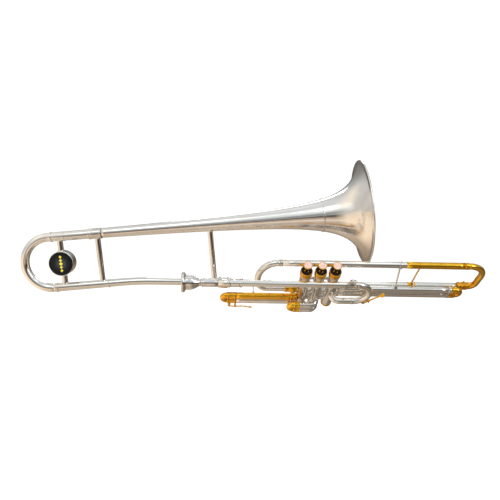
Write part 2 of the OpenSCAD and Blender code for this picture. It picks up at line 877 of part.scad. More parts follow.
module first_bow() {
    slide_bow(first_at, first_end, -1, outer_r + 0.6, outer_r + 0.6, 17);
    color(gold_c)
        difference() {
            translate([first_end - 13, first_at[1][0], first_at[1][1]])
                rotate([180, 0, 0]) key_saddle(outer_r + 0.6);
            x_rod(first_end - 20, first_end + 5, outer_r + 0.6 - slip, first_at[1]);
        }
}

module first_key_lever() {
    color(gold_c)
        translate([first_end - 13, first_at[1][0], first_at[1][1]])
            rotate([180, 0, 0]) key_lever(outer_r + 0.6);
}

module first_legs() {
    color(silver_c) {
        x_tube(first_end, first_end + 95, inner_r, bore_r, first_at[0]);
        x_tube(first_end, first_end + 95, inner_r, bore_r, first_at[1]);
    }
}

module second_bow() {
    slide_bow(second_at, second_mouth, -1, outer_r + 0.5, outer_r + 0.5, 12);
}

module second_legs() {
    color(silver_c) for (at = second_at)
        x_tube(second_mouth, second_mouth + 16, inner_r, bore_r, at);
}

module third_bow() {
    slide_bow(third_at, third_end, 1, outer_r + 0.6, outer_r + 0.6, 9);
}

module third_legs() {
    color(silver_c) for (at = third_at)
        x_tube(third_end - 150, third_end, inner_r, bore_r, at);
}

// The leadpipe's key sits on the lower outside of its bow.
module on_lead_bow() {
    h = norm(entry_at - lead_at) / 2;
    between(lead_bow_x, lead_at, entry_at)
        rotate([0, 0, 46]) translate([h, 0, 0]) rotate([0, 90, 0]) rotate([0, 0, -90]) children();
}

module leadpipe_key_saddle() {
    h = norm(entry_at - lead_at) / 2;
    color(gold_c)
        difference() {
            on_lead_bow() translate([-7, 0, 0]) key_saddle(inner_r + 1.2);
            between(lead_bow_x, lead_at, entry_at)
                rotate([0, 0, -90]) rotate_extrude(angle = 180)
                    translate([h, 0]) circle(inner_r + joint_gap);
        }
}

module leadpipe_key_lever() {
    color(gold_c) on_lead_bow() translate([-7, 0, 0]) key_lever(inner_r + 1.2);
}

bell_flare();
bell_stem();
bell_rim_wire();
bell_ferrules();
back_bow();
counterweight();
counterweight_face();
counterweight_stubs();
bell_braces();
neckpipe();
bell_lock_nut();
bell_receiver();
return_tube();
mouthpiece_receiver();
leadpipe();
leadpipe_bow();
valve_casings();
top_caps();
bottom_caps();
cap_felts();
valve_guides();
exit_bow();
exit_ferrules();
top_tube();
first_outer_upper();
first_outer_lower();
second_outer();
third_outer();
tube_rings();
hand_brace();
tube_braces();
lyre_socket();
lyre_screw();
leadpipe_key_saddle();
leadpipe_key_lever();
mouthpiece();
tuning_upper_sleeve();
tuning_lower_sleeve();
tuning_bow();
tuning_brace();
tuning_key_lever();
first_bow();
first_legs();
first_key_lever();
second_bow();
second_legs();
third_bow();
third_legs();
at_valve(0) piston();  // piston_1
at_valve(1) piston();  // piston_2
at_valve(2) piston();  // piston_3
at_valve(0) button();  // button_1
at_valve(1) button();  // button_2
at_valve(2) button();  // button_3
at_valve(0) pearl();  // pearl_1
at_valve(1) pearl();  // pearl_2
at_valve(2) pearl();  // pearl_3
at_valve(0) spring();  // spring_1
at_valve(1) spring();  // spring_2
at_valve(2) spring();  // spring_3
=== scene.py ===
"""Looks of a silver and gold valve trombone, built over its CAD frame.

Shapes are worked out in millimetres in the frame's own axes and turned into metres as
they become meshes. Each sub-assembly is a class that builds and dresses its pieces.
"""

import logging
from dataclasses import dataclass
from enum import Enum
from typing import Callable, Optional, Sequence

import bpy
import numpy as np
from mathutils import Matrix, Vector


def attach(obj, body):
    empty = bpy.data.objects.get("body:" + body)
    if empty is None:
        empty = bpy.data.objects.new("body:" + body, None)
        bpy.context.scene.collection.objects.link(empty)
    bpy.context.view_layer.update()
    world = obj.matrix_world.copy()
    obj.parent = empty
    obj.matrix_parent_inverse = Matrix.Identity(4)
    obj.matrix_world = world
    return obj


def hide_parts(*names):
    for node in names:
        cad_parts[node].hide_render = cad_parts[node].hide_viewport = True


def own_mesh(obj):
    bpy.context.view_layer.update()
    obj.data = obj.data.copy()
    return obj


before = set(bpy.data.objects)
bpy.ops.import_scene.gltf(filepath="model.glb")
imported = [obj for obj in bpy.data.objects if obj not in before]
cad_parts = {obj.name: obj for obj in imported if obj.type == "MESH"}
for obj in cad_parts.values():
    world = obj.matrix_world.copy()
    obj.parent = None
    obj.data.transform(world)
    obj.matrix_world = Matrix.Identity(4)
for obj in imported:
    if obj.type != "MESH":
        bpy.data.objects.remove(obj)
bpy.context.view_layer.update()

Array = np.ndarray
MM = 0.001
LOG = logging.getLogger("trombone")


# ---------------------------------------------------------------- shapes


@dataclass
class Shell:
    """One closed surface.

    Args:
        points: corner positions in millimetres, one row each.
        faces: corner numbers, four to a row; a triangle repeats its last corner.
        uv: a place on the surface for each corner of each face, in millimetres.
    """

    points: Array
    faces: Array
    uv: Array


def unit(vector: Sequence[float]) -> Array:
    """Return the vector at length one."""
    v = np.asarray(vector, float)
    return v / np.linalg.norm(v)


def square_to(axis: Array) -> tuple[Array, Array]:
    """Return two unit vectors square to an axis and to each other."""
    helper = np.array([0.0, 0.0, 1.0]) if abs(axis[2]) < 0.9 else np.array([0.0, 1.0, 0.0])
    a = unit(np.cross(helper, axis))
    return a, np.cross(axis, a)


def grid_shell(grid: Array, wrap_rows: bool) -> Shell:
    """Close a grid of rings into a surface whose faces point outwards.

    Columns always join up. Rows join up too on a tube with a wall; otherwise a point at
    each end ring's middle closes it. The enclosed volume, the sum of a.(b x c) / 6 over
    the faces, tells which way the faces point.

    Args:
        grid: rings of points, shaped rows x columns x 3.
        wrap_rows: whether the last ring joins the first.

    Returns:
        The closed surface.
    """
    rows, cols = grid.shape[:2]
    points = grid.reshape(-1, 3)
    middle = grid.mean(axis=1)
    steps = np.linalg.norm(np.diff(grid[:, 0], axis=0), axis=1)
    along = np.concatenate([[0.0], np.cumsum(steps)])
    girth = np.linalg.norm(grid[:, 0] - middle, axis=1).max() * 2 * np.pi
    last = rows if wrap_rows else rows - 1
    i, j = np.meshgrid(np.arange(last), np.arange(cols), indexing="ij")
    i, j = i.ravel(), j.ravel()
    ni, nj = (i + 1) % rows, (j + 1) % cols
    faces = np.stack([i * cols + j, i * cols + nj, ni * cols + nj, ni * cols + j], 1)
    u0, u1 = j / cols * girth, (j + 1) / cols * girth
    v0 = along[i]
    v1 = np.where(i + 1 < rows, along[ni], along[-1] + 1.0)
    uv = np.stack([np.stack(p, 1) for p in ((u0, v0), (u1, v0), (u1, v1), (u0, v1))], 1)
    if not wrap_rows:
        j = np.arange(cols)
        nj = (j + 1) % cols
        n = len(points)
        points = np.vstack([points, middle[0], middle[-1]])
        base = (rows - 1) * cols
        start = np.stack([nj, j, np.full(cols, n), np.full(cols, n)], 1)
        stop = np.stack([base + j, base + nj, np.full(cols, n + 1), np.full(cols, n + 1)], 1)
        flat = [(grid[r] - middle[r]) @ np.stack(square_to(unit(np.cross(
            grid[r, 1] - middle[r], grid[r, cols // 3] - middle[r])))).T for r in (0, -1)]
        zero = np.zeros((cols, 2))
        uv_a = np.stack([flat[0][nj], flat[0][j], zero, zero], 1)
        uv_b = np.stack([flat[1][j], flat[1][nj], zero, zero], 1)
        faces = np.vstack([faces, start, stop])
        uv = np.concatenate([uv, uv_a, uv_b])
    a, b, c, d = (points[faces[:, k]] for k in range(4))
    volume = (a * np.cross(b, c)).sum() + (a * np.cross(c, d)).sum()
    if volume < 0:
        order = np.where((faces[:, 2] == faces[:, 3])[:, None], [1, 0, 2, 3], [3, 2, 1, 0])
        faces = np.take_along_axis(faces, order, 1)
        uv = np.take_along_axis(uv, order[:, :, None], 1)
    return Shell(points, faces, uv)


def rounded(corners: Sequence[Sequence[float]], radius: float, steps: int = 4,
            closed: bool = True) -> Array:
    """Round a profile's corners with the curve (1-t)^2 a + 2t(1-t) c + t^2 b.

    Args:
        corners: the profile's corners as [along, radius].
        radius: how far from a corner c its rounding starts, at points a and b.
        steps: points on each rounding.
        closed: whether the profile's end joins its start.

    Returns:
        The rounded profile.
    """
    c = np.asarray(corners, float)
    before, after = np.roll(c, 1, 0), np.roll(c, -1, 0)
    back, ahead = before - c, after - c
    lb = np.linalg.norm(back, axis=1, keepdims=True)
    la = np.linalg.norm(ahead, axis=1, keepdims=True)
    cut = np.minimum(radius, 0.42 * np.minimum(lb, la))
    a, b = c + back / lb * cut, c + ahead / la * cut
    t = np.linspace(0, 1, steps)[None, :, None]
    out = (1 - t) ** 2 * a[:, None] + 2 * t * (1 - t) * c[:, None] + t ** 2 * b[:, None]
    if not closed:
        return np.vstack([c[:1], out[1:-1].reshape(-1, 2), c[-1:]])
    return out.reshape(-1, 2)


def smooth_profile(points: Sequence[Sequence[float]], per: int = 6) -> Array:
    """Run a Catmull-Rom curve through a profile's points.

    Between p1 and p2 it is 0.5 (2 p1 + (p2-p0) t + (2p0-5p1+4p2-p3) t^2 +
    (3p1-p0-3p2+p3) t^3).

    Args:
        points: the profile's points.
        per: points between each pair.

    Returns:
        The finer profile.
    """
    p = np.asarray(points, float)
    q = np.vstack([2 * p[0] - p[1], p, 2 * p[-1] - p[-2]])
    p0, p1, p2, p3 = (q[k:len(q) - 3 + k, None] for k in range(4))
    t = np.linspace(0, 1, per, endpoint=False)[None, :, None]
    curve = 0.5 * (2 * p1 + (p2 - p0) * t + (2 * p0 - 5 * p1 + 4 * p2 - p3) * t ** 2
                   + (3 * p1 - p0 - 3 * p2 + p3) * t ** 3)
    return np.vstack([curve.reshape(-1, p.shape[1]), p[-1:]])


def lathe(profile: Array, origin: Sequence[float], axis: Sequence[float], wrap: bool = True,
          segments: int = 64, shape: Optional[Callable[[Array, Array, Array], Array]] = None
          ) -> Shell:
    """Turn a profile about an axis: point = origin + z axis + r (cos t a + sin t b).

    Args:
        profile: rows of [along, radius].
        origin: where along is 0.
        axis: the axis's direction.
        wrap: whether the profile closes on itself, as a ring's does.
        segments: points round the axis.
        shape: gives a new radius from along, radius and angle, for lobes and knurls.

    Returns:
        The turned surface.
    """
    w = unit(axis)
    a, b = square_to(w)
    t = np.linspace(0, 2 * np.pi, segments, endpoint=False)[None, :]
    z = profile[:, 0:1] + 0 * t
    r = profile[:, 1:2] + 0 * t
    if shape is not None:
        r = shape(z, r, t + 0 * z)
    grid = (np.asarray(origin, float) + z[..., None] * w
            + r[..., None] * (np.cos(t)[..., None] * a + np.sin(t)[..., None] * b))
    return grid_shell(grid, wrap)


def carried_frames(path: Array) -> tuple[Array, Array]:
    """Carry a cross-section's two axes along a path without twist.

    Each step turns them by the least rotation from one tangent to the next.

    Args:
        path: points along the path.

    Returns:
        The two axes at each point.
    """
    tangent = np.gradient(path, axis=0)
    tangent /= np.linalg.norm(tangent, axis=1, keepdims=True)
    a = np.empty_like(path)
    a[0] = square_to(tangent[0])[0]
    for k in range(1, len(path)):
        a[k] = unit(a[k - 1] - (a[k - 1] @ tangent[k]) * tangent[k])
    return a, np.cross(tangent, a)


def pipe(path: Array, outer: Array | float, inner: Array | float, segments: int = 48) -> Shell:
    """Carry a round tube's wall along a path: out along the outside, back along the inside.

    Args:
        path: the tube's centre line.
        outer: outside radius, one value or one for each point.
        inner: inside radius, likewise.
        segments: points round the tube.

    Returns:
        The tube, closed at both ends.
    """
    a, b = carried_frames(path)
    outer = np.broadcast_to(np.asarray(outer, float), len(path)).copy()
    inner = np.broadcast_to(np.asarray(inner, float), len(path)).copy()
    outer[[0, -1]] -= 0.12
    centre = np.vstack([path, path[::-1]])
    a, b = np.vstack([a, a[::-1]]), np.vstack([b, b[::-1]])
    r = np.concatenate([outer, inner[::-1]])
    t = np.linspace(0, 2 * np.pi, segments, endpoint=False)
    grid = centre[:, None] + r[:, None, None] * (
        np.cos(t)[None, :, None] * a[:, None] + np.sin(t)[None, :, None] * b[:, None])
    return grid_shell(grid, True)


def bar(path: Array, across: Sequence[float], half_w: Array, half_t: Array,
        power: float = 4.0, segments: int = 28) -> Shell:
    """Carry a rounded oblong along a path: |x/w|^p + |y/t|^p = 1.

    Args:
        path: the bar's centre line.
        across: direction of its width, held all along.
        half_w: half of its width at each point.
        half_t: half of its thickness at each point.
        power: how square the section is.
        segments: points round the section.

    Returns:
        The bar, closed at both ends.
    """
    tangent = np.gradient(path, axis=0)
    tangent /= np.linalg.norm(tangent, axis=1, keepdims=True)
    side = np.broadcast_to(unit(across), path.shape)
    up = np.cross(tangent, side)
    t = np.linspace(0, 2 * np.pi, segments, endpoint=False)[None, :]
    x = np.sign(np.cos(t)) * np.abs(np.cos(t)) ** (2 / power) * np.asarray(half_w)[:, None]
    y = np.sign(np.sin(t)) * np.abs(np.sin(t)) ** (2 / power) * np.asarray(half_t)[:, None]
    return grid_shell(path[:, None] + x[..., None] * side[:, None] + y[..., None] * up[:, None],
                      False)


def straight(p: Sequence[float], q: Sequence[float], count: int = 6) -> Array:
    """Return a straight run of points, finer near its two ends."""
    t = 0.5 - 0.5 * np.cos(np.linspace(0, np.pi, count))
    return np.asarray(p, float) + t[:, None] * (np.asarray(q, float) - np.asarray(p, float))


def arc(centre: Array, a: Array, b: Array, start: float, stop: float, count: int = 40) -> Array:
    """Return points centre + cos t a + sin t b for t from start to stop, in degrees."""
    t = np.radians(np.linspace(start, stop, count))[:, None]
    return centre + np.cos(t) * a + np.sin(t) * b


def joined(*runs: Array) -> Array:
    """Join runs of points end to end, and drop the points that they share."""
    path = np.vstack(runs)
    keep = np.ones(len(path), bool)
    keep[1:] = np.linalg.norm(np.diff(path, axis=0), axis=1) > 0.02
    return path[keep]


def x_run(x0: float, x1: float, at: Array, count: int = 6) -> Array:
    """Return a run of points along X at [y, z]."""
    return straight((x0, at[0], at[1]), (x1, at[0], at[1]), count)


def bead(x: float, width: float, radius: float, rise: float, at: Array,
         axis: Sequence[float] = (1, 0, 0), origin: Optional[Array] = None) -> Shell:
    """Turn a ring with a rounded outside round a tube.

    Its outside is the half ellipse of the width and half of the rise.

    Args:
        x: where the ring starts.
        width: its width.
        radius: radius of the tube inside it.
        rise: how far it stands off the tube.
        at: the tube's [y, z], used where origin isn't given.
        axis: the tube's direction.
        origin: a point of the tube's axis from which x is measured.

    Returns:
        The ring.
    """
    t = np.linspace(-90, 90, 15)
    crown = np.stack([width / 2 * np.sin(np.radians(t)),
                      radius + rise * 0.5 + rise * 0.5 * np.cos(np.radians(t))], 1)
    profile = np.vstack([[-width / 2, radius - 0.3], crown, [width / 2, radius - 0.3]])
    profile[:, 0] += x + width / 2
    start = np.array([0.0, at[0], at[1]]) if origin is None else origin
    return lathe(profile, start, axis)


def saddle_post(p: Array, q: Array, tube: Sequence[float], radii: tuple[float, float],
                stem: float, foot: float, flare: float = 4.0) -> Shell:
    """Make a post between two tubes, with feet that follow the tubes' round surfaces.

    A ring of radius r stands R + z - w (R - sqrt(R^2 - (r cos t)^2)) from a tube's axis,
    where w falls from 1 at the foot to 0 on the stem.

    Args:
        p: point on the first tube's axis.
        q: point on the second tube's axis.
        tube: direction of both tubes.
        radii: radii of the two tubes.
        stem: radius of the post.
        foot: radius of its feet.
        flare: height over which a foot narrows to the stem.

    Returns:
        The post.
    """
    axis = unit(q - p)
    e2 = unit(np.asarray(tube, float) - (np.asarray(tube, float) @ axis) * axis)
    e1 = np.cross(e2, axis)
    t = np.linspace(0, 2 * np.pi, 48, endpoint=False)[None, :]
    f = np.linspace(0, 1, 9)
    z = np.concatenate([[-0.5, 0.3, 0.8], 1.0 + flare * f ** 0.8])
    r = np.concatenate([[foot, foot, foot - 0.25], stem + (foot - 0.6 - stem) * (1 - f) ** 2.4])
    w = np.concatenate([[1, 1, 1], (1 - f) ** 1.5])
    rows = []
    for centre, way, big in ((p, axis, radii[0]), (q, -axis, radii[1])):
        rr = r[:, None] + 0 * t
        reach = np.minimum(np.abs(rr * np.cos(t)), big * 0.98)
        drop = big - np.sqrt(big ** 2 - reach ** 2)
        height = big + z[:, None] - w[:, None] * drop
        rows.append(centre + height[..., None] * way + rr[..., None] * (
            np.cos(t)[..., None] * e1 + np.sin(t)[..., None] * e2))
    return grid_shell(np.concatenate([rows[0], rows[1][::-1]]), False)


def turned(degrees: float, axis: str) -> Array:
    """Return the 3 x 3 matrix that turns by an angle about X, Y or Z."""
    return np.array(Matrix.Rotation(np.radians(degrees), 3, axis))


# ---------------------------------------------------------------- finishes


class Slot(Enum):
    """Material slots of the part's record."""

    SILVER = "silver_plate"
    GOLD = "gold_plate"
    ENAMEL = "black_face"
    FELT = "felt"
    PEARL = "pearl"
    STEEL = "spring_steel"


class Group(Enum):
    """Shader effects that several finishes share."""

    SMUDGES = "polish_smudges"
    FILM = "plating_film"
    DRAWN = "drawn_and_dented"


def new_group(name: str, inputs: Sequence[tuple[str, str, float]], outputs: Sequence[str]
              ) -> tuple[bpy.types.ShaderNodeTree, bpy.types.Node, bpy.types.Node]:
    """Start a shader node group.

    Args:
        name: the group's name.
        inputs: name, kind and default of each input.
        outputs: names of its value outputs.

    Returns:
        The tree, its input node and its output node.
    """
    tree = bpy.data.node_groups.new(name, "ShaderNodeTree")
    for label, kind, default in inputs:
        socket = tree.interface.new_socket(label, in_out="INPUT", socket_type=kind)
        if kind == "NodeSocketFloat":
            socket.default_value = default
    for label in outputs:
        tree.interface.new_socket(label, in_out="OUTPUT", socket_type="NodeSocketFloat")
    return tree, tree.nodes.new("NodeGroupInput"), tree.nodes.new("NodeGroupOutput")


def noise(tree: bpy.types.NodeTree, vector: bpy.types.NodeSocket, scale: float,
          detail: float = 3.0, rough: float = 0.55, warp: float = 0.0) -> bpy.types.Node:
    """Add a noise texture that reads a vector and return its node."""
    node = tree.nodes.new("ShaderNodeTexNoise")
    node.inputs["Scale"].default_value = scale
    node.inputs["Detail"].default_value = detail
    node.inputs["Roughness"].default_value = rough
    node.inputs["Distortion"].default_value = warp
    tree.links.new(vector, node.inputs["Vector"])
    return node


def remap(tree: bpy.types.NodeTree, value: bpy.types.NodeSocket, lo: float, hi: float,
          to_lo: float = 0.0, to_hi: float = 1.0) -> bpy.types.NodeSocket:
    """Add a clamped map from one range to another and return its result."""
    node = tree.nodes.new("ShaderNodeMapRange")
    for label, number in (("From Min", lo), ("From Max", hi), ("To Min", to_lo),
                          ("To Max", to_hi)):
        node.inputs[label].default_value = number
    tree.links.new(value, node.inputs["Value"])
    return node.outputs["Result"]


def mathed(tree: bpy.types.NodeTree, kind: str, *values: object) -> bpy.types.NodeSocket:
    """Add a math node fed by sockets or numbers and return its result."""
    node = tree.nodes.new("ShaderNodeMath")
    node.operation = kind
    for k, value in enumerate(values):
        if isinstance(value, (int, float)):
            node.inputs[k].default_value = value
        else:
            tree.links.new(value, node.inputs[k])
    return node.outputs[0]


def mixed(tree: bpy.types.NodeTree, factor: bpy.types.NodeSocket, first: object,
          second: object) -> bpy.types.NodeSocket:
    """Mix two colours, given as sockets or triples, and return the result."""
    node = tree.nodes.new("ShaderNodeMix")
    node.data_type = "RGBA"
    tree.links.new(factor, node.inputs[0])
    for k, value in ((6, first), (7, second)):
        if isinstance(value, tuple):
            node.inputs[k].default_value = (*value, 1.0)
        else:
            tree.links.new(value, node.inputs[k])
    return node.outputs[2]


class EffectLibrary:
    """The shader node groups, each built once."""

    def __init__(self) -> None:
        """Build the three groups."""
        self.trees = {
            Group.SMUDGES: self._smudges(),
            Group.FILM: self._film(),
            Group.DRAWN: self._drawn(),
        }

    @staticmethod
    def _smudges() -> bpy.types.ShaderNodeTree:
        """Soft cloth wipes and finger marks: a broad noise times a fine streaked one."""
        tree, start, stop = new_group(
            Group.SMUDGES.value, [("Place", "NodeSocketVector", 0.0),
                                  ("Amount", "NodeSocketFloat", 1.0)], ["Smudge"])
        broad = remap(tree, noise(tree, start.outputs["Place"], 28.0, 4.0, 0.6, 0.8)
                      .outputs["Fac"], 0.45, 0.75)
        fine = noise(tree, start.outputs["Place"], 420.0, 3.0, 0.7, 0.3).outputs["Fac"]
        both = mathed(tree, "MULTIPLY", broad, remap(tree, fine, 0.3, 0.7, 0.35, 1.0))
        out = mathed(tree, "MULTIPLY", both, start.outputs["Amount"])
        tree.links.new(out, stop.inputs["Smudge"])
        return tree

    @staticmethod
    def _film() -> bpy.types.ShaderNodeTree:
        """Uneven plating and faint tarnish: two noises, the wider one deciding where."""
        tree, start, stop = new_group(
            Group.FILM.value, [("Place", "NodeSocketVector", 0.0),
                               ("Spread", "NodeSocketFloat", 0.5)], ["Film", "Spots"])
        wide = noise(tree, start.outputs["Place"], 11.0, 5.0, 0.62, 1.2).outputs["Fac"]
        near = noise(tree, start.outputs["Place"], 90.0, 3.0, 0.6, 0.4).outputs["Fac"]
        blend = mathed(tree, "ADD", mathed(tree, "MULTIPLY", wide, 0.75),
                       mathed(tree, "MULTIPLY", near, 0.25))
        film = mathed(tree, "MULTIPLY", remap(tree, blend, 0.42, 0.66), start.outputs["Spread"])
        spots = noise(tree, start.outputs["Place"], 900.0, 1.0, 0.5).outputs["Fac"]
        tree.links.new(film, stop.inputs["Film"])
        tree.links.new(remap(tree, spots, 0.70, 0.78), stop.inputs["Spots"])
        return tree

    @staticmethod
    def _drawn() -> bpy.types.ShaderNodeTree:
        """Surface height: polishing lines round or along the metal, and shallow dents."""
        tree, start, stop = new_group(
            Group.DRAWN.value, [("Place", "NodeSocketVector", 0.0),
                                ("Lines", "NodeSocketVector", 0.0),
                                ("Fineness", "NodeSocketFloat", 0.3),
                                ("Waves", "NodeSocketFloat", 1.0)], ["Height"])
        lines = noise(tree, start.outputs["Lines"], 1.0, 2.0, 0.6).outputs["Fac"]
        waves = noise(tree, start.outputs["Place"], 34.0, 2.0, 0.45).outputs["Fac"]
        height = mathed(tree, "ADD",
                        mathed(tree, "MULTIPLY", lines, start.outputs["Fineness"]),
                        mathed(tree, "MULTIPLY", waves, start.outputs["Waves"]))
        tree.links.new(height, stop.inputs["Height"])
        return tree

    def place(self, tree: bpy.types.NodeTree, which: Group) -> bpy.types.Node:
        """Add one of the groups to a material's tree and return its node."""
        node = tree.nodes.new("ShaderNodeGroup")
        node.node_tree = self.trees[which]
        return node


def blank_material(name: str) -> tuple[bpy.types.Material, bpy.types.NodeTree, bpy.types.Node]:
    """Make a material and return it with its tree and its Principled shader."""
    material = bpy.data.materials.new(name)
    material.use_nodes = True
    tree = material.node_tree
    return material, tree, tree.nodes["Principled BSDF"]


@dataclass(frozen=True)
class PlatedMetal:
    """Polished plate over brass.

    Args:
        name: the material's name.
        slot: the record's slot that it shows; not used.
        bright: colour of clean metal.
        dull: colour where the film is thick.
        smooth: roughness of clean metal.
        hazy: roughness under smudges.
        lacquer: weight of the clear coat.
        film: how much of the surface the film may take.
        lines: how deep the polishing lines are.
        waves: how deep the shallow dents are.
    """

    name: str
    slot: Slot
    bright: tuple[float, float, float]
    dull: tuple[float, float, float]
    smooth: float
    hazy: float
    lacquer: float
    film: float
    lines: float
    waves: float

    def make(self, library: EffectLibrary) -> bpy.types.Material:
        """Build the material from the shared effects."""
        material, tree, shader = blank_material(self.name)
        place = tree.nodes.new("ShaderNodeTexCoord")
        where = place.outputs["Object"]
        stretch = tree.nodes.new("ShaderNodeMapping")
        stretch.inputs["Scale"].default_value = (0.9, 4.5, 1.0)
        tree.links.new(place.outputs["UV"], stretch.inputs["Vector"])
        film = library.place(tree, Group.FILM)
        film.inputs["Spread"].default_value = self.film
        smudge = library.place(tree, Group.SMUDGES)
        drawn = library.place(tree, Group.DRAWN)
        drawn.inputs["Fineness"].default_value = self.lines
        drawn.inputs["Waves"].default_value = self.waves
        for node in (film, smudge, drawn):
            tree.links.new(where, node.inputs["Place"])
        tree.links.new(stretch.outputs["Vector"], drawn.inputs["Lines"])
        base = mixed(tree, film.outputs["Film"], self.bright, self.dull)
        speck = mathed(tree, "MULTIPLY", film.outputs["Spots"], 0.35)
        dark = tuple(c * 0.45 for c in self.dull)
        tree.links.new(mixed(tree, speck, base, dark), shader.inputs["Base Color"])
        rough = mathed(tree, "MULTIPLY_ADD", smudge.outputs["Smudge"], self.hazy - self.smooth,
                       self.smooth)
        rough = mathed(tree, "MULTIPLY_ADD", film.outputs["Film"], 0.05, rough)
        tree.links.new(rough, shader.inputs["Roughness"])
        bump = tree.nodes.new("ShaderNodeBump")
        bump.inputs["Strength"].default_value = 1.0
        bump.inputs["Distance"].default_value = 0.00009
        tree.links.new(drawn.outputs["Height"], bump.inputs["Height"])
        tree.links.new(bump.outputs["Normal"], shader.inputs["Normal"])
        shader.inputs["Metallic"].default_value = 1.0
        shader.inputs["Coat Weight"].default_value = self.lacquer
        shader.inputs["Coat Roughness"].default_value = 0.04
        return material


@dataclass(frozen=True)
class PearlInlay:
    """Mother-of-pearl: bands of a strongly warped noise in rose, cream and grey."""

    name: str = "button_pearl"
    slot: Slot = Slot.PEARL

    def make(self, library: EffectLibrary) -> bpy.types.Material:
        """Build the material."""
        material, tree, shader = blank_material(self.name)
        where = tree.nodes.new("ShaderNodeTexCoord").outputs["Object"]
        bands = noise(tree, where, 130.0, 3.0, 0.5, 2.6).outputs["Fac"]
        veins = noise(tree, where, 420.0, 2.0, 0.6, 1.5).outputs["Fac"]
        rose = mixed(tree, remap(tree, bands, 0.38, 0.56), (0.62, 0.33, 0.26),
                     (0.74, 0.52, 0.42))
        cream = mixed(tree, remap(tree, bands, 0.54, 0.72), rose, (0.68, 0.60, 0.58))
        tree.links.new(mixed(tree, remap(tree, veins, 0.6, 0.8, 0.0, 0.35), cream,
                             (0.50, 0.36, 0.33)), shader.inputs["Base Color"])
        bump = tree.nodes.new("ShaderNodeBump")
        bump.inputs["Strength"].default_value = 0.5
        bump.inputs["Distance"].default_value = 0.0001
        tree.links.new(bands, bump.inputs["Height"])
        tree.links.new(bump.outputs["Normal"], shader.inputs["Normal"])
        tree.links.new(remap(tree, veins, 0.3, 0.8, 0.16, 0.3), shader.inputs["Roughness"])
        shader.inputs["Coat Weight"].default_value = 0.8
        shader.inputs["Coat Roughness"].default_value = 0.05
        shader.inputs["Sheen Weight"].default_value = 0.15
        return material


@dataclass(frozen=True)
class MattedFibre:
    """Felt or cork: grains from a fine noise, with a rough, slightly furry surface."""

    name: str
    slot: Slot
    deep: tuple[float, float, float]
    pale: tuple[float, float, float]
    grain: float
    sheen: float

    def make(self, library: EffectLibrary) -> bpy.types.Material:
        """Build the material."""
        material, tree, shader = blank_material(self.name)
        where = tree.nodes.new("ShaderNodeTexCoord").outputs["Object"]
        grain = noise(tree, where, self.grain, 6.0, 0.75, 0.6).outputs["Fac"]
        tree.links.new(mixed(tree, remap(tree, grain, 0.35, 0.7), self.deep, self.pale),
                       shader.inputs["Base Color"])
        bump = tree.nodes.new("ShaderNodeBump")
        bump.inputs["Strength"].default_value = 0.9
        bump.inputs["Distance"].default_value = 0.0003
        tree.links.new(grain, bump.inputs["Height"])
        tree.links.new(bump.outputs["Normal"], shader.inputs["Normal"])
        shader.inputs["Roughness"].default_value = 0.95
        shader.inputs["Sheen Weight"].default_value = self.sheen
        shader.inputs["Specular IOR Level"].default_value = 0.12
        return material


@dataclass(frozen=True)
class GlossPaint:
    """Enamel or paint: one deep colour with faint dust, under a clear coat."""

    name: str
    slot: Slot
    colour: tuple[float, float, float]
    dust: tuple[float, float, float]
    coat: float

    def make(self, library: EffectLibrary) -> bpy.types.Material:
        """Build the material."""
        material, tree, shader = blank_material(self.name)
        where = tree.nodes.new("ShaderNodeTexCoord").outputs["Object"]
        smudge = library.place(tree, Group.SMUDGES)
        tree.links.new(where, smudge.inputs["Place"])
        dust = remap(tree, noise(tree, where, 1500.0, 2.0).outputs["Fac"], 0.62, 0.8, 0.0, 0.5)
        tree.links.new(mixed(tree, dust, self.colour, self.dust), shader.inputs["Base Color"])
        tree.links.new(remap(tree, smudge.outputs["Smudge"], 0.0, 1.0, 0.16, 0.4),
                       shader.inputs["Roughness"])
        shader.inputs["Specular IOR Level"].default_value = 0.25
        shader.inputs["Coat Weight"].default_value = self.coat
        shader.inputs["Coat Roughness"].default_value = 0.06
        return material


class Finish(Enum):
    """Every finish on the instrument."""

    SILVER = PlatedMetal("silver_plate", Slot.SILVER, (0.92, 0.90, 0.86), (0.76, 0.70, 0.60),
                         0.055, 0.17, 0.0, 0.5, 0.10, 1.0)
    BELL = PlatedMetal("bell_silver", Slot.SILVER, (0.89, 0.86, 0.82), (0.78, 0.69, 0.60),
                       0.13, 0.26, 0.0, 0.6, 0.22, 1.3)
    FITTING = PlatedMetal("fitting_silver", Slot.SILVER, (0.88, 0.86, 0.84),
                          (0.56, 0.49, 0.42), 0.08, 0.24, 0.0, 0.75, 0.15, 1.0)
    GOLD = PlatedMetal("gold_lacquer", Slot.GOLD, (1.0, 0.60, 0.045), (0.80, 0.30, 0.012),
                       0.07, 0.19, 0.18, 0.75, 0.10, 1.1)
    STEEL = PlatedMetal("spring_steel", Slot.STEEL, (0.62, 0.62, 0.64), (0.36, 0.33, 0.31),
                        0.18, 0.32, 0.0, 0.5, 0.2, 0.5)
    PEARL = PearlInlay()
    FELT = MattedFibre("cap_felt", Slot.FELT, (0.004, 0.003, 0.003), (0.020, 0.016, 0.014),
                       2600.0, 0.02)
    CORK = MattedFibre("key_cork", Slot.FELT, (0.22, 0.12, 0.06), (0.58, 0.40, 0.24),
                       1500.0, 0.2)
    ENAMEL = GlossPaint("black_enamel", Slot.ENAMEL, (0.006, 0.006, 0.007),
                        (0.03, 0.03, 0.03), 0.2)
    YELLOW = GlossPaint("emblem_yellow", Slot.ENAMEL, (0.72, 0.60, 0.05),
                        (0.45, 0.36, 0.05), 0.5)


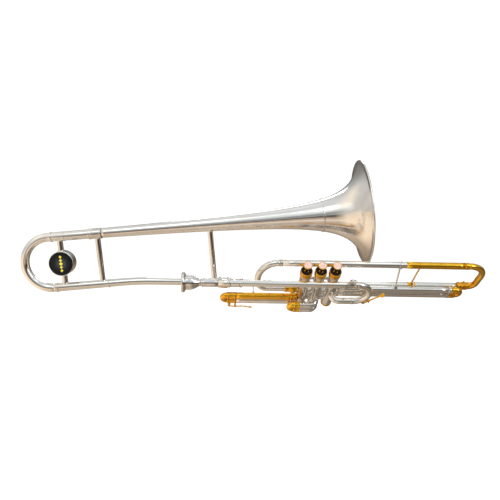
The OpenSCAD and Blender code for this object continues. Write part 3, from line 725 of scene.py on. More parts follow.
class Workshop:
    """Makes meshes from shells, dresses them and fixes them to their bodies."""

    def __init__(self) -> None:
        """Build the shared effects and every finish."""
        library = EffectLibrary()
        self.materials = {f: f.value.make(library) for f in Finish}
        self.count = 0

    def piece(self, name: str, shells: Sequence[Shell], finish: Finish, body: str,
              *nodes: str) -> bpy.types.Object:
        """Make one object from shells.

        Args:
            name: the object's name.
            shells: the closed surfaces that it is made of.
            finish: its finish.
            body: the CAD body that it moves with.
            nodes: the CAD nodes that it stands for.

        Returns:
            The object, at the origin with its place in its mesh.
        """
        offset = np.cumsum([0] + [len(s.points) for s in shells[:-1]])
        points = np.vstack([s.points for s in shells]) * MM
        faces = np.vstack([s.faces + o for s, o in zip(shells, offset)])
        uv = np.concatenate([s.uv for s in shells])
        three = faces[:, 2] == faces[:, 3]
        quads, tris = faces[~three], faces[three][:, :3]
        mesh = bpy.data.meshes.new(name)
        mesh.from_pydata(points.tolist(), [], quads.tolist() + tris.tolist())
        layer = mesh.uv_layers.new(name="surface")
        flat = np.concatenate([uv[~three].reshape(-1, 2), uv[three][:, :3].reshape(-1, 2)])
        layer.data.foreach_set("uv", flat.ravel().astype(np.float32))
        mesh.polygons.foreach_set("use_smooth", np.ones(len(mesh.polygons), bool))
        mesh.update()
        mesh.validate()
        mesh.materials.append(self.materials[finish])
        obj = bpy.data.objects.new(name, mesh)
        bpy.context.scene.collection.objects.link(obj)
        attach(obj, body)
        if nodes:
            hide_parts(*nodes)
        self.count += 1
        LOG.info("%s: %d faces on %s", name, len(mesh.polygons), body)
        return obj

    def dress(self, node: str, finish: Finish) -> None:
        """Give a CAD node that stays one of the finishes."""
        obj = bpy.data.objects[node]
        obj.data.materials.clear()
        obj.data.materials.append(self.materials[finish])
        LOG.info("%s keeps its CAD shape in %s", node, finish.name.lower())


# ---------------------------------------------------------------- shared sizes


@dataclass(frozen=True)
class Tubing:
    """Radii of the tubing and the places of its lines, in millimetres."""

    bore: float = 5.5
    inner: float = 6.0
    outer_in: float = 6.05
    outer: float = 6.55
    lead: tuple[float, float] = (-80.0, 17.0)
    top: tuple[float, float] = (-57.0, 51.8)
    centre: tuple[float, float] = (0.0, 0.0)
    valve_at: tuple[float, float] = (-40.5, 9.5)
    lean: float = 48.0
    first_valve: float = 160.3
    pitch: float = 26.8

    def valve_x(self, number: int) -> float:
        """Return a valve's place along X, from 0 for the first."""
        return self.first_valve + number * self.pitch

    def across(self) -> Array:
        """Return the direction across the row of valves."""
        a = np.radians(self.lean)
        return np.array([0.0, np.cos(a), np.sin(a)])

    def up(self) -> Array:
        """Return the direction from the bottom caps to the buttons."""
        a = np.radians(self.lean)
        return np.array([0.0, -np.sin(a), np.cos(a)])

    def place(self, number: float, n: float, t: float) -> Array:
        """Return the point n across and t along from a valve's middle."""
        start = np.array([self.valve_x(number), *self.valve_at])
        return start + n * self.across() + t * self.up()

    def line(self, n: float, t: float) -> Array:
        """Return [y, z] of a tube n across and t along the valves."""
        return self.place(0, n, t)[1:]


T = Tubing()


def outside_valves(shell: Shell, radius: float = 9.5) -> Shell:
    """Shape the ends of tubes to the valves that they meet.

    A point at arm q from a valve's axis, with |q| under the radius, moves out along q:
    p' = p + q (max(radius / |q|, 1) - 1). The end then follows the casing's round wall.

    Args:
        shell: the tube.
        radius: the middle of the casing's wall.

    Returns:
        The tube with nothing inside a valve's bore.
    """
    points = shell.points.copy()
    for number in range(3):
        arm = points - T.place(number, 0, 0)
        arm -= np.outer(arm @ T.up(), T.up())
        length = np.maximum(np.linalg.norm(arm, axis=1), 0.1)
        points += arm * (np.maximum(radius / length, 1.0) - 1.0)[:, None]
    return Shell(points, shell.faces, shell.uv)


def u_path(p: Array, q: Array, x: float, side: int = 1, count: int = 48) -> Array:
    """Half circle in the plane of two tubes at x: middle + R (sin t along X, -cos t p to q).

    Args:
        p: [y, z] of the first tube.
        q: [y, z] of the second tube.
        x: where both tubes end.
        side: 1 towards +X, -1 towards -X.
        count: points on the half circle.

    Returns:
        The path from the first tube to the second.
    """
    a = np.array([x, *p])
    b = np.array([x, *q])
    return arc((a + b) / 2, (a - b) / 2, np.array([side * np.linalg.norm(a - b) / 2, 0, 0]),
               0, 180, count)


def crook_path(p: Array, q: Array, reach: float, bends: tuple[float, float], side: int
               ) -> Array:
    """Quarter bend, straight and quarter bend between two tubes.

    Args:
        p: [y, z] of the first tube.
        q: [y, z] of the second tube.
        reach: place of the straight along X.
        bends: radii of the two bends.
        side: 1 towards +X, -1 towards -X.

    Returns:
        The path from the first tube to the second.
    """
    a, b = np.array([reach, *p]), np.array([reach, *q])
    d = unit(b - a)
    x = np.array([side, 0.0, 0.0])
    r1, r2 = bends
    first = arc(a - x * r1 + d * r1, -d * r1, x * r1, 0, 90, 28)
    second = arc(b - x * r2 - d * r2, x * r2, d * r2, 0, 90, 24)
    return joined(first, straight(a + d * r1, b - d * r2, 5), second)


# ---------------------------------------------------------------- bell section


@dataclass
class BellSection:
    """The bell, its bow, neckpipe, braces and counterweight."""

    shop: Workshop
    root: float = -160.0
    tilt: float = 5.8
    gap: float = 100.0
    ferrule_s: float = -61.5
    length: float = 508.0
    rim_r: float = 101.0
    bead_r: float = 1.5
    flare_k: float = 20.0
    flare_pow: float = 0.718
    wall: float = 0.6
    seam_s: float = 368.0
    bow_s: float = -165.0
    ring_s: float = -158.0
    bow_r: float = 9.05
    neck_r: float = 8.3
    tenon_r: float = 7.2
    bend_r: float = 600.0
    brace_s: tuple[float, float] = (-69.5, 148.5)
    brace_stem: float = 5.3
    brace_foot: float = 5.95
    weight_s: float = -142.5
    weight_h: float = 48.0
    weight_d: float = 48.0
    weight_t: float = 24.0
    body: str = "bell_section"

    def __post_init__(self) -> None:
        """Work out the bell's own axes."""
        a = np.radians(self.tilt)
        self.x = np.array([np.cos(a), 0.0, np.sin(a)])
        self.z = np.array([-np.sin(a), 0.0, np.cos(a)])
        self.rim_s = self.ferrule_s + self.length
        self.neck_s = -self.bend_r * np.tan(np.radians(self.tilt / 2))

    def at(self, s: float, h: float = 0.0, y: float = 0.0) -> Array:
        """Return the point s along the bell, h above the neckpipe and y aside."""
        return np.array([self.root, y, 0.0]) + s * self.x + h * self.z

    def radius(self, d: Array) -> Array:
        """Outside radius at d from the rim: rim (1 + d / k)^-p, a Bessel horn."""
        return (self.rim_r - self.bead_r) * (1 + d / self.flare_k) ** -self.flare_pow

    def bell(self) -> None:
        """One spun sheet from the ferrule to the rim, rolled over a wire at the edge."""
        d = np.linspace(1, 0, 150) ** 2.1 * self.length
        r = self.radius(d)
        slope = self.flare_pow * r / (self.flare_k + d)
        a = np.arctan(slope)
        outside = np.stack([self.rim_s - d, r], 1)
        inside = np.stack([self.rim_s - d + self.wall * np.sin(a), r - self.wall * np.cos(a)], 1)
        inside[0, 0] = outside[0, 0]
        t = np.radians(np.linspace(180, -115, 26))
        curl = np.stack([self.rim_s - self.bead_r * 0.2 + self.bead_r * np.cos(t),
                         self.rim_r - self.bead_r + self.bead_r * np.sin(t)], 1)
        profile = np.vstack([outside[outside[:, 0] < curl[0, 0] - 0.2], curl,
                             inside[inside[:, 0] < curl[0, 0] + 0.2][::-1]])
        shell = lathe(profile, self.at(0, self.gap), self.x, True, 192)
        self.shop.piece("bell", [shell], Finish.BELL, self.body,
                        "bell_flare", "bell_stem", "bell_rim_wire")

    def ring(self, s: float, width: float, radius: float, rise: float, upper: bool) -> Shell:
        """Make a soldered ring on the upper or the lower tube."""
        return bead(s, width, radius, rise, (0, 0), self.x, self.at(0, self.gap * upper))

    def rings(self) -> None:
        """Ferrules and rings of the bell section."""
        sleeve = rounded([[self.ferrule_s - 24, self.bow_r - 0.3],
                          [self.ferrule_s - 24, self.bow_r + 1.1],
                          [self.ferrule_s + 0.5, self.bow_r + 1.1],
                          [self.ferrule_s + 0.5, self.bow_r - 0.3]], 0.35)
        seam_r = self.radius(np.array(self.rim_s - self.seam_s)) + 0.3
        seam = bead(self.seam_s - 1.5, 3, float(seam_r), 0.7, (0, 0), self.x,
                    self.at(0, self.gap))
        shells = [
            lathe(sleeve, self.at(0, self.gap), self.x),
            self.ring(self.ferrule_s - 24, 3, self.bow_r + 1.0, 0.6, True),
            self.ring(self.ferrule_s - 20, 1.6, self.bow_r + 1.0, 0.4, True),
            self.ring(self.ferrule_s - 2.5, 3, self.bow_r + 1.0, 0.6, True),
            self.ring(self.ring_s - 2, 4, self.bow_r, 0.8, True),
            self.ring(self.ring_s + 23, 3, self.bow_r, 0.6, True),
            self.ring(self.ring_s - 2, 4, self.neck_r, 0.8, False),
            self.ring(-59, 3, 7.65, 0.7, False),
            seam,
        ]
        self.shop.piece("bell_rings", shells, Finish.FITTING, self.body, "bell_ferrules")

    def back_bow(self) -> None:
        """Half circle of tube from the neckpipe's line to the bell's, and its straight."""
        h = self.gap / 2
        half = arc(self.at(self.bow_s, h), -self.z * h, -self.x * h, 0, 180, 72)
        rise = straight(self.at(self.bow_s, self.gap), self.at(self.ferrule_s, self.gap), 14)
        path = joined(half, rise)
        s = (path - self.at(0, 0)) @ self.x
        upper = (path - self.at(0, 0)) @ self.z > self.gap - 0.5
        grow = np.clip((s - self.bow_s) / 16, 0, 1) * upper
        outer = self.neck_r + (self.bow_r - self.neck_r) * grow
        self.shop.piece("back_bow_tube", [pipe(path, outer, outer - 0.5, 64)], Finish.SILVER,
                        self.body, "back_bow")

    def neckpipe(self) -> None:
        """Tapered tube under the bell that bends into line with the receiver."""
        centre = np.array([self.root - self.neck_s, 0, -self.bend_r])
        up, back = np.array([0, 0, self.bend_r]), np.array([-self.bend_r, 0, 0])
        bend = arc(centre, up, back, self.tilt, 0, 24)
        path = joined(straight(self.at(self.bow_s), bend[0], 12), bend,
                      straight(bend[-1], (30, 0, 0), 12))
        s = (path - self.at(0, 0)) @ self.x
        k = np.clip((s - self.bow_s) / (self.neck_s - self.bow_s), 0, 1)
        outer = self.neck_r + (self.tenon_r - self.neck_r) * k
        collar = lathe(rounded([[-3, 6.9], [-3, 8.5], [4, 8.5], [4, 6.9]], 0.5), (0, 0, 0),
                       (1, 0, 0))
        self.shop.piece("neckpipe_tube", [pipe(path, outer, outer - 0.5, 56), collar],
                        Finish.SILVER, self.body, "neckpipe")

    def braces(self) -> None:
        """Two posts between the bell and the neckpipe, on flared feet."""
        posts = []
        for s, foot, upper in ((self.brace_s[0], self.at(self.brace_s[0]), self.bow_r + 1.1),
                               (self.brace_s[1], self._under_front(), None)):
            top = self.at(s, self.gap)
            if upper is None:
                upper = float(self.radius(np.array(self.rim_s - s)))
            lower = 7.7 if s < 0 else self.tenon_r
            posts.append(saddle_post(foot, top, self.x, (lower, upper), self.brace_stem,
                                     self.brace_foot))
        self.shop.piece("brace_posts", posts, Finish.SILVER, self.body, "bell_braces")

    def _under_front(self) -> Array:
        """Return where the front brace's axis meets the straight neckpipe."""
        k = self.at(self.brace_s[1])[2] / self.z[2]
        return self.at(self.brace_s[1], -k)

    def counterweight(self) -> None:
        """Drum held by two stubs, with an enamelled front and an emblem of lozenges."""
        r, t = self.weight_d / 2, self.weight_t
        middle = self.at(self.weight_s, self.weight_h)
        front = (0, -1, 0)
        rim = t / 2
        body = rounded([[-rim, 0.0], [-rim, r - 1.6], [-rim + 1.6, r], [rim - 1.1, r],
                        [rim, r - 0.5], [rim, r - 1.15], [rim - 1.5, r - 1.2],
                        [rim - 1.5, 0.0]], 0.55, 5, closed=False)
        ribs = [lathe(rounded([[c - 0.8, r - 0.3], [c - 0.8, r], [c + 0.8, r],
                               [c + 0.8, r - 0.3]], 0.3), middle, front, True, 96)
                for c in (-rim + 3.4, rim - 3.6)]
        self.shop.piece("counterweight_drum", [lathe(body, middle, front, False, 128), *ribs],
                        Finish.SILVER, self.body, "counterweight")
        f = r - 1.25
        face = rounded([[rim - 1.7, 0.0], [rim - 1.7, f], [rim - 0.45, f], [rim - 0.2, f - 1.2],
                        [rim - 0.15, 0.0]], 0.3, 4, closed=False)
        self.shop.piece("enamel_face", [lathe(face, middle, front, False, 128)],
                        Finish.ENAMEL, self.body, "counterweight_face")
        self.shop.piece("lozenge_emblem", self._emblem(middle, rim - 0.16), Finish.YELLOW,
                        self.body)
        stubs = []
        for h, tube_r in ((0.0, self.neck_r), (self.gap, self.bow_r)):
            tube_at = self.at(self.weight_s, h)
            stubs.append(saddle_post(tube_at, middle, self.x, (tube_r, r), 5.5, 6.2, 2.2))
        self.shop.piece("weight_stubs", stubs, Finish.SILVER, self.body, "counterweight_stubs")

    def _emblem(self, middle: Array, depth: float) -> list[Shell]:
        """Five lozenges in a row, each a low pyramid |x/a| + |y/b| = 1."""
        shells = []
        side, up = self.x, self.z
        front = np.array([0.0, -1.0, 0.0])
        t = np.radians(np.arange(0, 360, 15))
        k = 1 / (np.abs(np.cos(t)) + np.abs(np.sin(t)))
        for number in range(-2, 3):
            a, b = (2.9, 3.2) if number else (3.9, 4.0)
            centre = middle + front * depth + up * number * 6.7
            ring = (k * np.cos(t))[:, None] * side * a + (k * np.sin(t))[:, None] * up * b
            rows = [centre + ring - front * 0.15, centre + ring + front * 0.02,
                    centre + ring * 0.55 + front * 0.07]
            shells.append(grid_shell(np.stack(rows), False))
        return shells

    def build(self) -> None:
        """Build the whole section."""
        self.bell()
        self.rings()
        self.back_bow()
        self.neckpipe()
        self.braces()
        self.counterweight()


@dataclass
class BellLock:
    """The lobed nut and the receiver that it locks the bell section to."""

    shop: Workshop
    lobes: int = 10

    def _scallops(self, z: Array, r: Array, t: Array) -> Array:
        """Lobes of 1.4 (1 - |sin(n t / 2)|^1.5), faded out past the two plain collars."""
        grip = 1 / (1 + np.exp(-(z + 1.8) * 3)) / (1 + np.exp((z - 14.5) * 3))
        lobe = 1.4 * (1 - np.abs(np.sin(self.lobes * t / 2)) ** 1.5)
        high = np.clip((r - 9.9) / 0.4, 0, 1)
        return r + high * grip * (lobe - 0.35)

    def build(self) -> None:
        """Build the nut and the receiver."""
        outside = rounded([[-5.2, 7.7], [-5.2, 9.7], [-4.6, 10.3], [-3.6, 10.3],
                           [-3.3, 9.95], [-2.8, 9.95], [-2.4, 10.3], [4, 10.3], [9, 10.3],
                           [14, 10.3], [15, 10.3], [15.6, 9.95], [16.4, 9.95], [16.8, 10.4],
                           [19, 10.4], [20, 9.9], [20, 9.3], [-3.2, 9.3], [-3.2, 7.7]], 0.35)
        nut = lathe(outside, (0, 0, 0), (1, 0, 0), True, 160, self._scallops)
        self.shop.piece("lobed_lock_nut", [nut], Finish.FITTING, "lock_nut", "bell_lock_nut")
        wall = rounded([[4, 7.25], [4, 9.1], [38, 9.1], [44, 9.1], [45.5, 6.3], [45.5, 6.0],
                        [38, 6.0], [38, 7.25]], 0.6)
        shells = [lathe(wall, (0, 0, 0), (1, 0, 0)),
                  bead(39, 4, 9.0, 0.9, (0, 0)), bead(21.4, 1.6, 9.0, 0.5, (0, 0))]
        self.shop.piece("bell_receiver_sleeve", shells, Finish.FITTING, "valve_section",
                        "bell_receiver")


# ---------------------------------------------------------------- valves


@dataclass
class ValveRow:
    """Three piston valves with their caps, buttons and springs."""

    shop: Workshop
    casing_r: float = 10.0
    casing_in: float = 9.0
    cap_r: float = 11.5
    low: float = -71.0
    high: float = 43.4
    cap: tuple[float, float] = (36.0, 49.0)
    foot: tuple[float, float] = (-79.0, -70.6)
    button_t: float = 65.0
    button_r: float = 8.25
    stem_r: float = 2.6
    knuckle_start: float = 8.6
    body: str = "valve_section"

    def _turn(self, profile: Array, number: int, wrap: bool = True, segments: int = 72,
              shape: Optional[Callable[[Array, Array, Array], Array]] = None) -> Shell:
        """Turn a profile about one valve's axis."""
        return lathe(profile, T.place(number, 0, 0), T.up(), wrap, segments, shape)

    def casings(self) -> None:
        """Casings with turned bands, the knuckles between them and two tie bars."""
        bands = rounded([
            [self.low, self.casing_in], [self.low, self.casing_r], [-61, self.casing_r],
            [-60.6, 10.35], [-58.6, 10.35], [-58.2, self.casing_r], [-4, self.casing_r],
            [-3.6, 10.3], [-2.2, 10.3], [-1.8, self.casing_r], [30.5, self.casing_r],
            [31, 10.5], [34.6, 10.5], [35, self.casing_r], [self.high, self.casing_r],
            [self.high, self.casing_in]], 0.3)
        shells = [self._turn(bands, k) for k in range(3)]
        for k in (0, 1):
            for t, r in ((-28, T.outer), (-50, T.outer), (22, 3.0)):
                a, b = T.place(k, 0, t), T.place(k + 1, 0, t)
                d = unit(b - a)
                run = straight(a + d * self.knuckle_start, b - d * self.knuckle_start, 14)
                edge = np.abs(np.linspace(-1, 1, 14)) ** 6
                shells.append(outside_valves(pipe(run, r + 0.9 * edge, max(r - 1.0, 1.0), 48)))
        self.shop.piece("casings", shells, Finish.FITTING, self.body, "valve_casings")

    def caps(self) -> None:
        """Gold top caps with a knurled band, and domed bottom caps."""
        lo, hi = self.cap
        top = rounded([[lo, self.casing_r + 0.05], [lo, self.cap_r - 0.5],
                       [lo + 1.2, self.cap_r - 0.1], [lo + 2.0, self.cap_r - 0.35],
                       [lo + 2.6, self.cap_r], [lo + 4, self.cap_r], [lo + 6, self.cap_r],
                       [lo + 7.4, self.cap_r], [lo + 8.0, self.cap_r - 0.35],
                       [lo + 8.8, self.cap_r - 0.1], [hi - 0.9, self.cap_r - 0.25],
                       [hi, self.cap_r - 0.9], [hi, 10.25], [46, 10.15], [46, 3.1], [43.5, 3.1],
                       [43.5, self.casing_r + 0.05]], 0.3)

        def knurl(z: Array, r: Array, t: Array) -> Array:
            """Cut 60 fine teeth of 0.25 |sin 30t| into the middle band."""
            band = (z > lo + 2.7) & (z < lo + 7.3) & (r > self.cap_r - 0.2)
            return r - 0.25 * band * np.abs(np.sin(30 * t))

        self.shop.piece("top_cap_rings", [self._turn(top, k, True, 240, knurl)
                                          for k in range(3)], Finish.GOLD, self.body, "top_caps")
        lo, hi = self.foot
        r = self.casing_r + 0.6
        dome = smooth_profile([[lo - 2, 3.0], [lo - 1.2, 3.2], [lo - 0.2, 3.3], [lo + 0.4, 5.2],
                               [lo + 1.6, 8.0], [lo + 3.4, 9.9], [lo + 5.2, r]], 5)
        outside = np.vstack([[[lo - 2, 0.0]], dome, rounded(
            [[hi - 2.4, r], [hi - 2.0, r - 0.3], [hi - 1.6, r], [hi, r], [hi, 10.03],
             [lo + 8, 10.03], [lo + 8, 7.0], [lo + 3, 7.0], [lo + 3, 0.0]], 0.3, 4, False)])
        self.shop.piece("bottom_cap_domes", [self._turn(outside, k, False)
                                             for k in range(3)], Finish.GOLD, self.body,
                        "bottom_caps")
        felt = rounded([[46.03, 4], [46.03, 9.9], [48.47, 9.9], [48.47, 4]], 0.7)
        self.shop.piece("felt_washers", [self._turn(felt, k) for k in range(3)],
                        Finish.FELT, self.body, "cap_felts")

    def fingers(self) -> None:
        """Stems and buttons with a dished pearl, and the springs under them."""
        r = self.button_r
        t = self.button_t
        profile = np.vstack([
            [[40, 0.0]],
            rounded([[40, 5.5], [43, 5.5], [43.4, self.stem_r], [t - 2.0, self.stem_r],
                     [t - 0.4, self.stem_r + 1.4], [t + 0.3, 5.8], [t + 1.4, r - 0.2],
                     [t + 2.2, r], [t + 3.2, r], [t + 3.8, r - 0.35], [t + 3.7, r - 0.85],
                     [t + 2.0, r - 0.9]], 0.45, 5, False),
            [[t + 2.0, 0.0]]])
        pearl = np.vstack([[[t + 2.03, 0.0]], rounded(
            [[t + 2.03, r - 0.9], [t + 3.5, r - 0.95], [t + 4.15, r - 2.0], [t + 4.0, 3.5],
             [t + 3.9, 1.5]], 0.6, 5, False), [[t + 3.88, 0.0]]])
        for k in range(3):
            body = f"valve_{k + 1}"
            self.shop.piece(f"finger_button_{k + 1}", [self._turn(profile, k, False)],
                            Finish.GOLD, body, f"button_{k + 1}")
            self.shop.piece(f"pearl_disc_{k + 1}", [self._turn(pearl, k, False)],
                            Finish.PEARL, body, f"pearl_{k + 1}")
            self.shop.dress(f"piston_{k + 1}", Finish.FITTING)
            self._spring(k)
        self.shop.dress("valve_guides", Finish.GOLD)

    def _spring(self, number: int) -> None:
        """Coil (R cos a, R sin a, rise a) of wire, its end turns lying flat."""
        turns, wire, big = 5, 0.45, 6.6
        lo, hi = 17.0, 38.5
        a = np.linspace(0, turns * 2 * np.pi, turns * 32)
        k = a / a[-1]
        rise = lo + wire + (hi - lo - 2 * wire) * (k - 0.03 * np.sin(2 * np.pi * k))
        w = T.up()
        u, v = square_to(w)
        path = (T.place(number, 0, 0) + rise[:, None] * w
                + big * (np.cos(a)[:, None] * u + np.sin(a)[:, None] * v))
        shell = pipe(path, wire, 0.05, 10)
        obj = self.shop.piece(f"coil_{number + 1}", [shell], Finish.STEEL, self.body,
                              f"spring_{number + 1}")
        tuple(T.place(number, 0, lo) * MM)
        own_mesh(obj)

    def build(self) -> None:
        """Build the whole row."""
        self.casings()
        self.caps()
        self.fingers()


# ---------------------------------------------------------------- fixed tubing


@dataclass
class FixedTubes:
    """The tubes that are soldered to the valves, with their rings and braces."""

    shop: Workshop
    exit_t: float = -20.0
    first_n: float = -4.0
    first_t: tuple[float, float] = (-46.5, -64.0)
    second_n: float = -24.0
    second_t: tuple[float, float] = (-42.5, -59.5)
    third_t: tuple[float, float] = (-17.5, -34.5)
    entry_n: float = -26.0
    entry_t: float = -19.0
    lead_bow_x: float = 255.0
    exit_reach: float = 72.5
    exit_bends: tuple[float, float] = (40.0, 18.0)
    first_end: float = 31.3
    third_end: float = 452.9
    second_mouth: float = 157.0
    elbow_r: float = 14.0
    second_elbow_r: float = 11.0
    leg_inset: float = 6.6
    hand_brace_x: float = 28.0
    rod_x: float = 65.5
    lead_brace_x: float = 243.0
    top_brace_x: float = 340.0
    body: str = "valve_section"

    def __post_init__(self) -> None:
        """Work out the lines of the tubes."""
        self.exit = T.line(0, self.exit_t)
        self.entry = T.line(self.entry_n, self.entry_t)
        self.first = [T.line(self.first_n, t) for t in self.first_t]
        self.second = [T.line(self.second_n, t) for t in self.second_t]
        self.third = [T.line(0, t) for t in self.third_t]
        self.lead = np.array(T.lead)
        self.top = np.array(T.top)
        self.centre = np.array(T.centre)

    def leadpipe(self) -> None:
        """Leadpipe, its bow, the return leg and the elbow into the third valve."""
        self.shop.piece("leadpipe_tube", [pipe(x_run(-8.5, self.lead_bow_x, self.lead), T.inner,
                                               T.bore)], Finish.SILVER, self.body, "leadpipe")
        valve = T.valve_x(2)
        start = T.place(2, self.entry_n + self.elbow_r, self.entry_t)
        centre = start + np.array([self.elbow_r, 0, 0])
        elbow = arc(centre, -T.across() * self.elbow_r,
                    np.array([-self.elbow_r, 0, 0]), 0, 90, 26)
        path = joined(u_path(self.lead, self.entry, self.lead_bow_x),
                      x_run(self.lead_bow_x, valve + self.elbow_r, self.entry, 6), elbow,
                      straight(start, start + T.across() * 4.2, 4))
        collar = bead(0, 3.2, T.inner, 0.9, (0, 0), T.across(), start - T.across() * 0.2)
        tube = outside_valves(pipe(path, T.inner, T.bore, 56))
        self.shop.piece("leadpipe_bow_tube", [tube, collar], Finish.SILVER, self.body,
                        "leadpipe_bow")
        wall = rounded([[-32.5, 5.96], [-32.5, 7.5], [-31.4, 7.95], [-29.5, 7.95],
                        [-29.0, 7.6], [-28.2, 7.6], [-27.7, 7.9], [-7.5, 7.9], [-3.2, 6.9],
                        [-2.5, 6.1], [-2.5, 5.96]], 0.5)
        self.shop.piece("mouthpiece_sleeve", [lathe(wall, (0, *self.lead), (1, 0, 0))],
                        Finish.FITTING, self.body, "mouthpiece_receiver")

    def exit_tubes(self) -> None:
        """Bow from the first valve up to the top tube, and the top tube."""
        path = joined(crook_path(self.top, self.exit, self.exit_reach, self.exit_bends, -1),
                      x_run(self.exit_reach + self.exit_bends[1], T.valve_x(0) - 7.5,
                            self.exit, 6))
        self.shop.piece("exit_bow_tube", [outside_valves(pipe(path, T.inner, T.bore, 56))],
                        Finish.SILVER, self.body, "exit_bow")
        join = self.exit_reach + self.exit_bends[0]
        self.shop.piece("top_tube_run", [pipe(x_run(join, 443, self.top), T.inner, T.bore)],
                        Finish.SILVER, self.body, "top_tube")
        self.shop.piece("return_tube_run", [pipe(x_run(38, 453, self.centre), T.inner,
                                                 T.bore)], Finish.SILVER, self.body,
                        "return_tube")
        end = T.valve_x(0) - 11.0
        shape = rounded([[end - 24, 5.9], [end - 24, 6.9], [end - 22.6, 7.5],
                         [end - 20.6, 7.5], [end - 20.0, 6.9], [end - 14.5, 7.0],
                         [end - 13.6, 7.9], [end - 12.2, 8.4], [end - 8.0, 9.0],
                         [end - 3.8, 8.4], [end - 2.6, 7.6], [end - 1.2, 7.9],
                         [end, 7.2], [end, 5.9]], 0.7)
        second = rounded([[end - 10, 6.5], [end - 10, 7.4], [end - 8.8, 7.75],
                          [end - 7.4, 7.2], [end - 3, 7.2], [end - 1.6, 7.75],
                          [end, 7.3], [end, 6.5]], 0.45)
        self.shop.piece("gold_ferrules", [lathe(shape, (0, *self.exit), (1, 0, 0)),
                                          lathe(second, (0, *self.first[0]), (1, 0, 0))],
                        Finish.GOLD, self.body, "exit_ferrules")

    def outer_legs(self) -> None:
        """Outer tubes of the three valve slides."""
        reach = T.valve_x(0) - self.leg_inset
        legs = [outside_valves(pipe(x_run(self.first_end, reach, at), T.outer, T.outer_in))
                for at in self.first]
        self.shop.piece("first_upper_leg", legs[:1], Finish.GOLD, self.body,
                        "first_outer_upper")
        low = [legs[1], bead(T.valve_x(0) - 20, 9, T.outer, 0.9, self.first[1])]
        self.shop.piece("first_lower_leg", low, Finish.SILVER, self.body, "first_outer_lower")
        elbow_x = T.valve_x(1) - self.second_elbow_r
        shells = []
        for at, t in zip(self.second, self.second_t):
            start = T.place(1, self.second_n + self.second_elbow_r, t)
            centre = start - np.array([self.second_elbow_r, 0, 0])
            elbow = arc(centre, -T.across() * self.second_elbow_r,
                        np.array([self.second_elbow_r, 0, 0]), 0, 90, 22)
            path = joined(x_run(self.second_mouth, elbow_x, at, 5), elbow,
                          straight(start, start + T.across() * 5.0, 4))
            shells.append(outside_valves(pipe(path, T.outer, T.outer_in)))
            shells.append(bead(self.second_mouth, 4, T.outer, 0.6, at))
        self.shop.piece("second_leg_elbows", shells, Finish.SILVER, self.body, "second_outer")
        start_x = T.valve_x(2) + self.leg_inset
        legs = [outside_valves(pipe(x_run(start_x, self.third_end, at), T.outer, T.outer_in))
                for at in self.third]
        legs += [bead(start_x + 4, 7, T.outer, 0.8, at) for at in self.third]
        self.shop.piece("third_leg_tubes", legs, Finish.SILVER, self.body, "third_outer")

    def rings(self) -> None:
        """Rings soldered round the fixed tubes."""
        join = self.exit_reach + self.exit_bends[0]
        x = self.lead_bow_x
        shells = [bead(16, 5.5, T.inner, 0.9, self.lead), bead(35, 3, T.inner, 0.7, self.lead),
                  bead(x - 4, 4, T.inner, 0.5, self.lead),
                  bead(x - 4, 4, T.inner, 0.5, self.entry),
                  bead(join, 4, T.inner, 0.5, self.top),
                  bead(337.8, 4.4, T.inner, 0.9, self.top)]
        shells += [bead(self.third_end - 6, 4, T.outer, 0.6, at) for at in self.third]
        self.shop.piece("tube_bead_rings", shells, Finish.FITTING, self.body, "tube_rings")

    def _post(self, x: float, p: Array, q: Array, radii: tuple[float, float], stem: float,
              foot: float, flare: float) -> Shell:
        """Make a post between two tubes along X."""
        return saddle_post(np.array([x, *p]), np.array([x, *q]), (1, 0, 0), radii, stem, foot,
                           flare)

    def braces(self) -> None:
        """The hand brace and the three tube braces."""
        hand = self._post(self.hand_brace_x, self.lead, self.centre, (T.inner, 9.1), 3.6, 6.0,
                          5.0)
        self.shop.piece("hand_brace_post", [hand], Finish.SILVER, self.body, "hand_brace")
        shells = [self._post(self.lead_brace_x, self.lead, self.centre, (T.inner, T.inner), 2.2,
                             5.0, 5.0),
                  self._post(self.top_brace_x, self.top, self.third[0], (T.inner, T.outer), 1.6,
                             5.0, 3.5),
                  self._post(self.rod_x, self.centre, self.first[0], (T.inner, T.outer), 0.9,
                             3.0, 2.0)]
        foot = np.array([self.top_brace_x, *self.third[0]])
        way = unit(np.array([self.top_brace_x, *self.top]) - foot)
        for turn in (-35, 35):
            along = np.array([np.cos(np.radians(turn)), 0.0, 0.0])
            side = np.cross(way, (1.0, 0.0, 0.0)) * np.sin(np.radians(turn))
            arm = along + side
            t = np.linspace(-6.5, 6.5, 20)[:, None]
            path = foot + arm * t + way * (np.sqrt(T.outer ** 2 - (t * np.sin(np.radians(
                turn))) ** 2) + 0.35)
            across = np.cross(arm, way)
            shells.append(bar(path, across, 1.25 - 0.09 * np.abs(t[:, 0]),
                              np.full(20, 0.55), 3.0, 16))
        self.shop.piece("brace_rods", shells, Finish.SILVER, self.body, "tube_braces")

    def build(self) -> None:
        """Build all the fixed tubing."""
        self.leadpipe()
        self.exit_tubes()
        self.outer_legs()
        self.rings()
        self.braces()


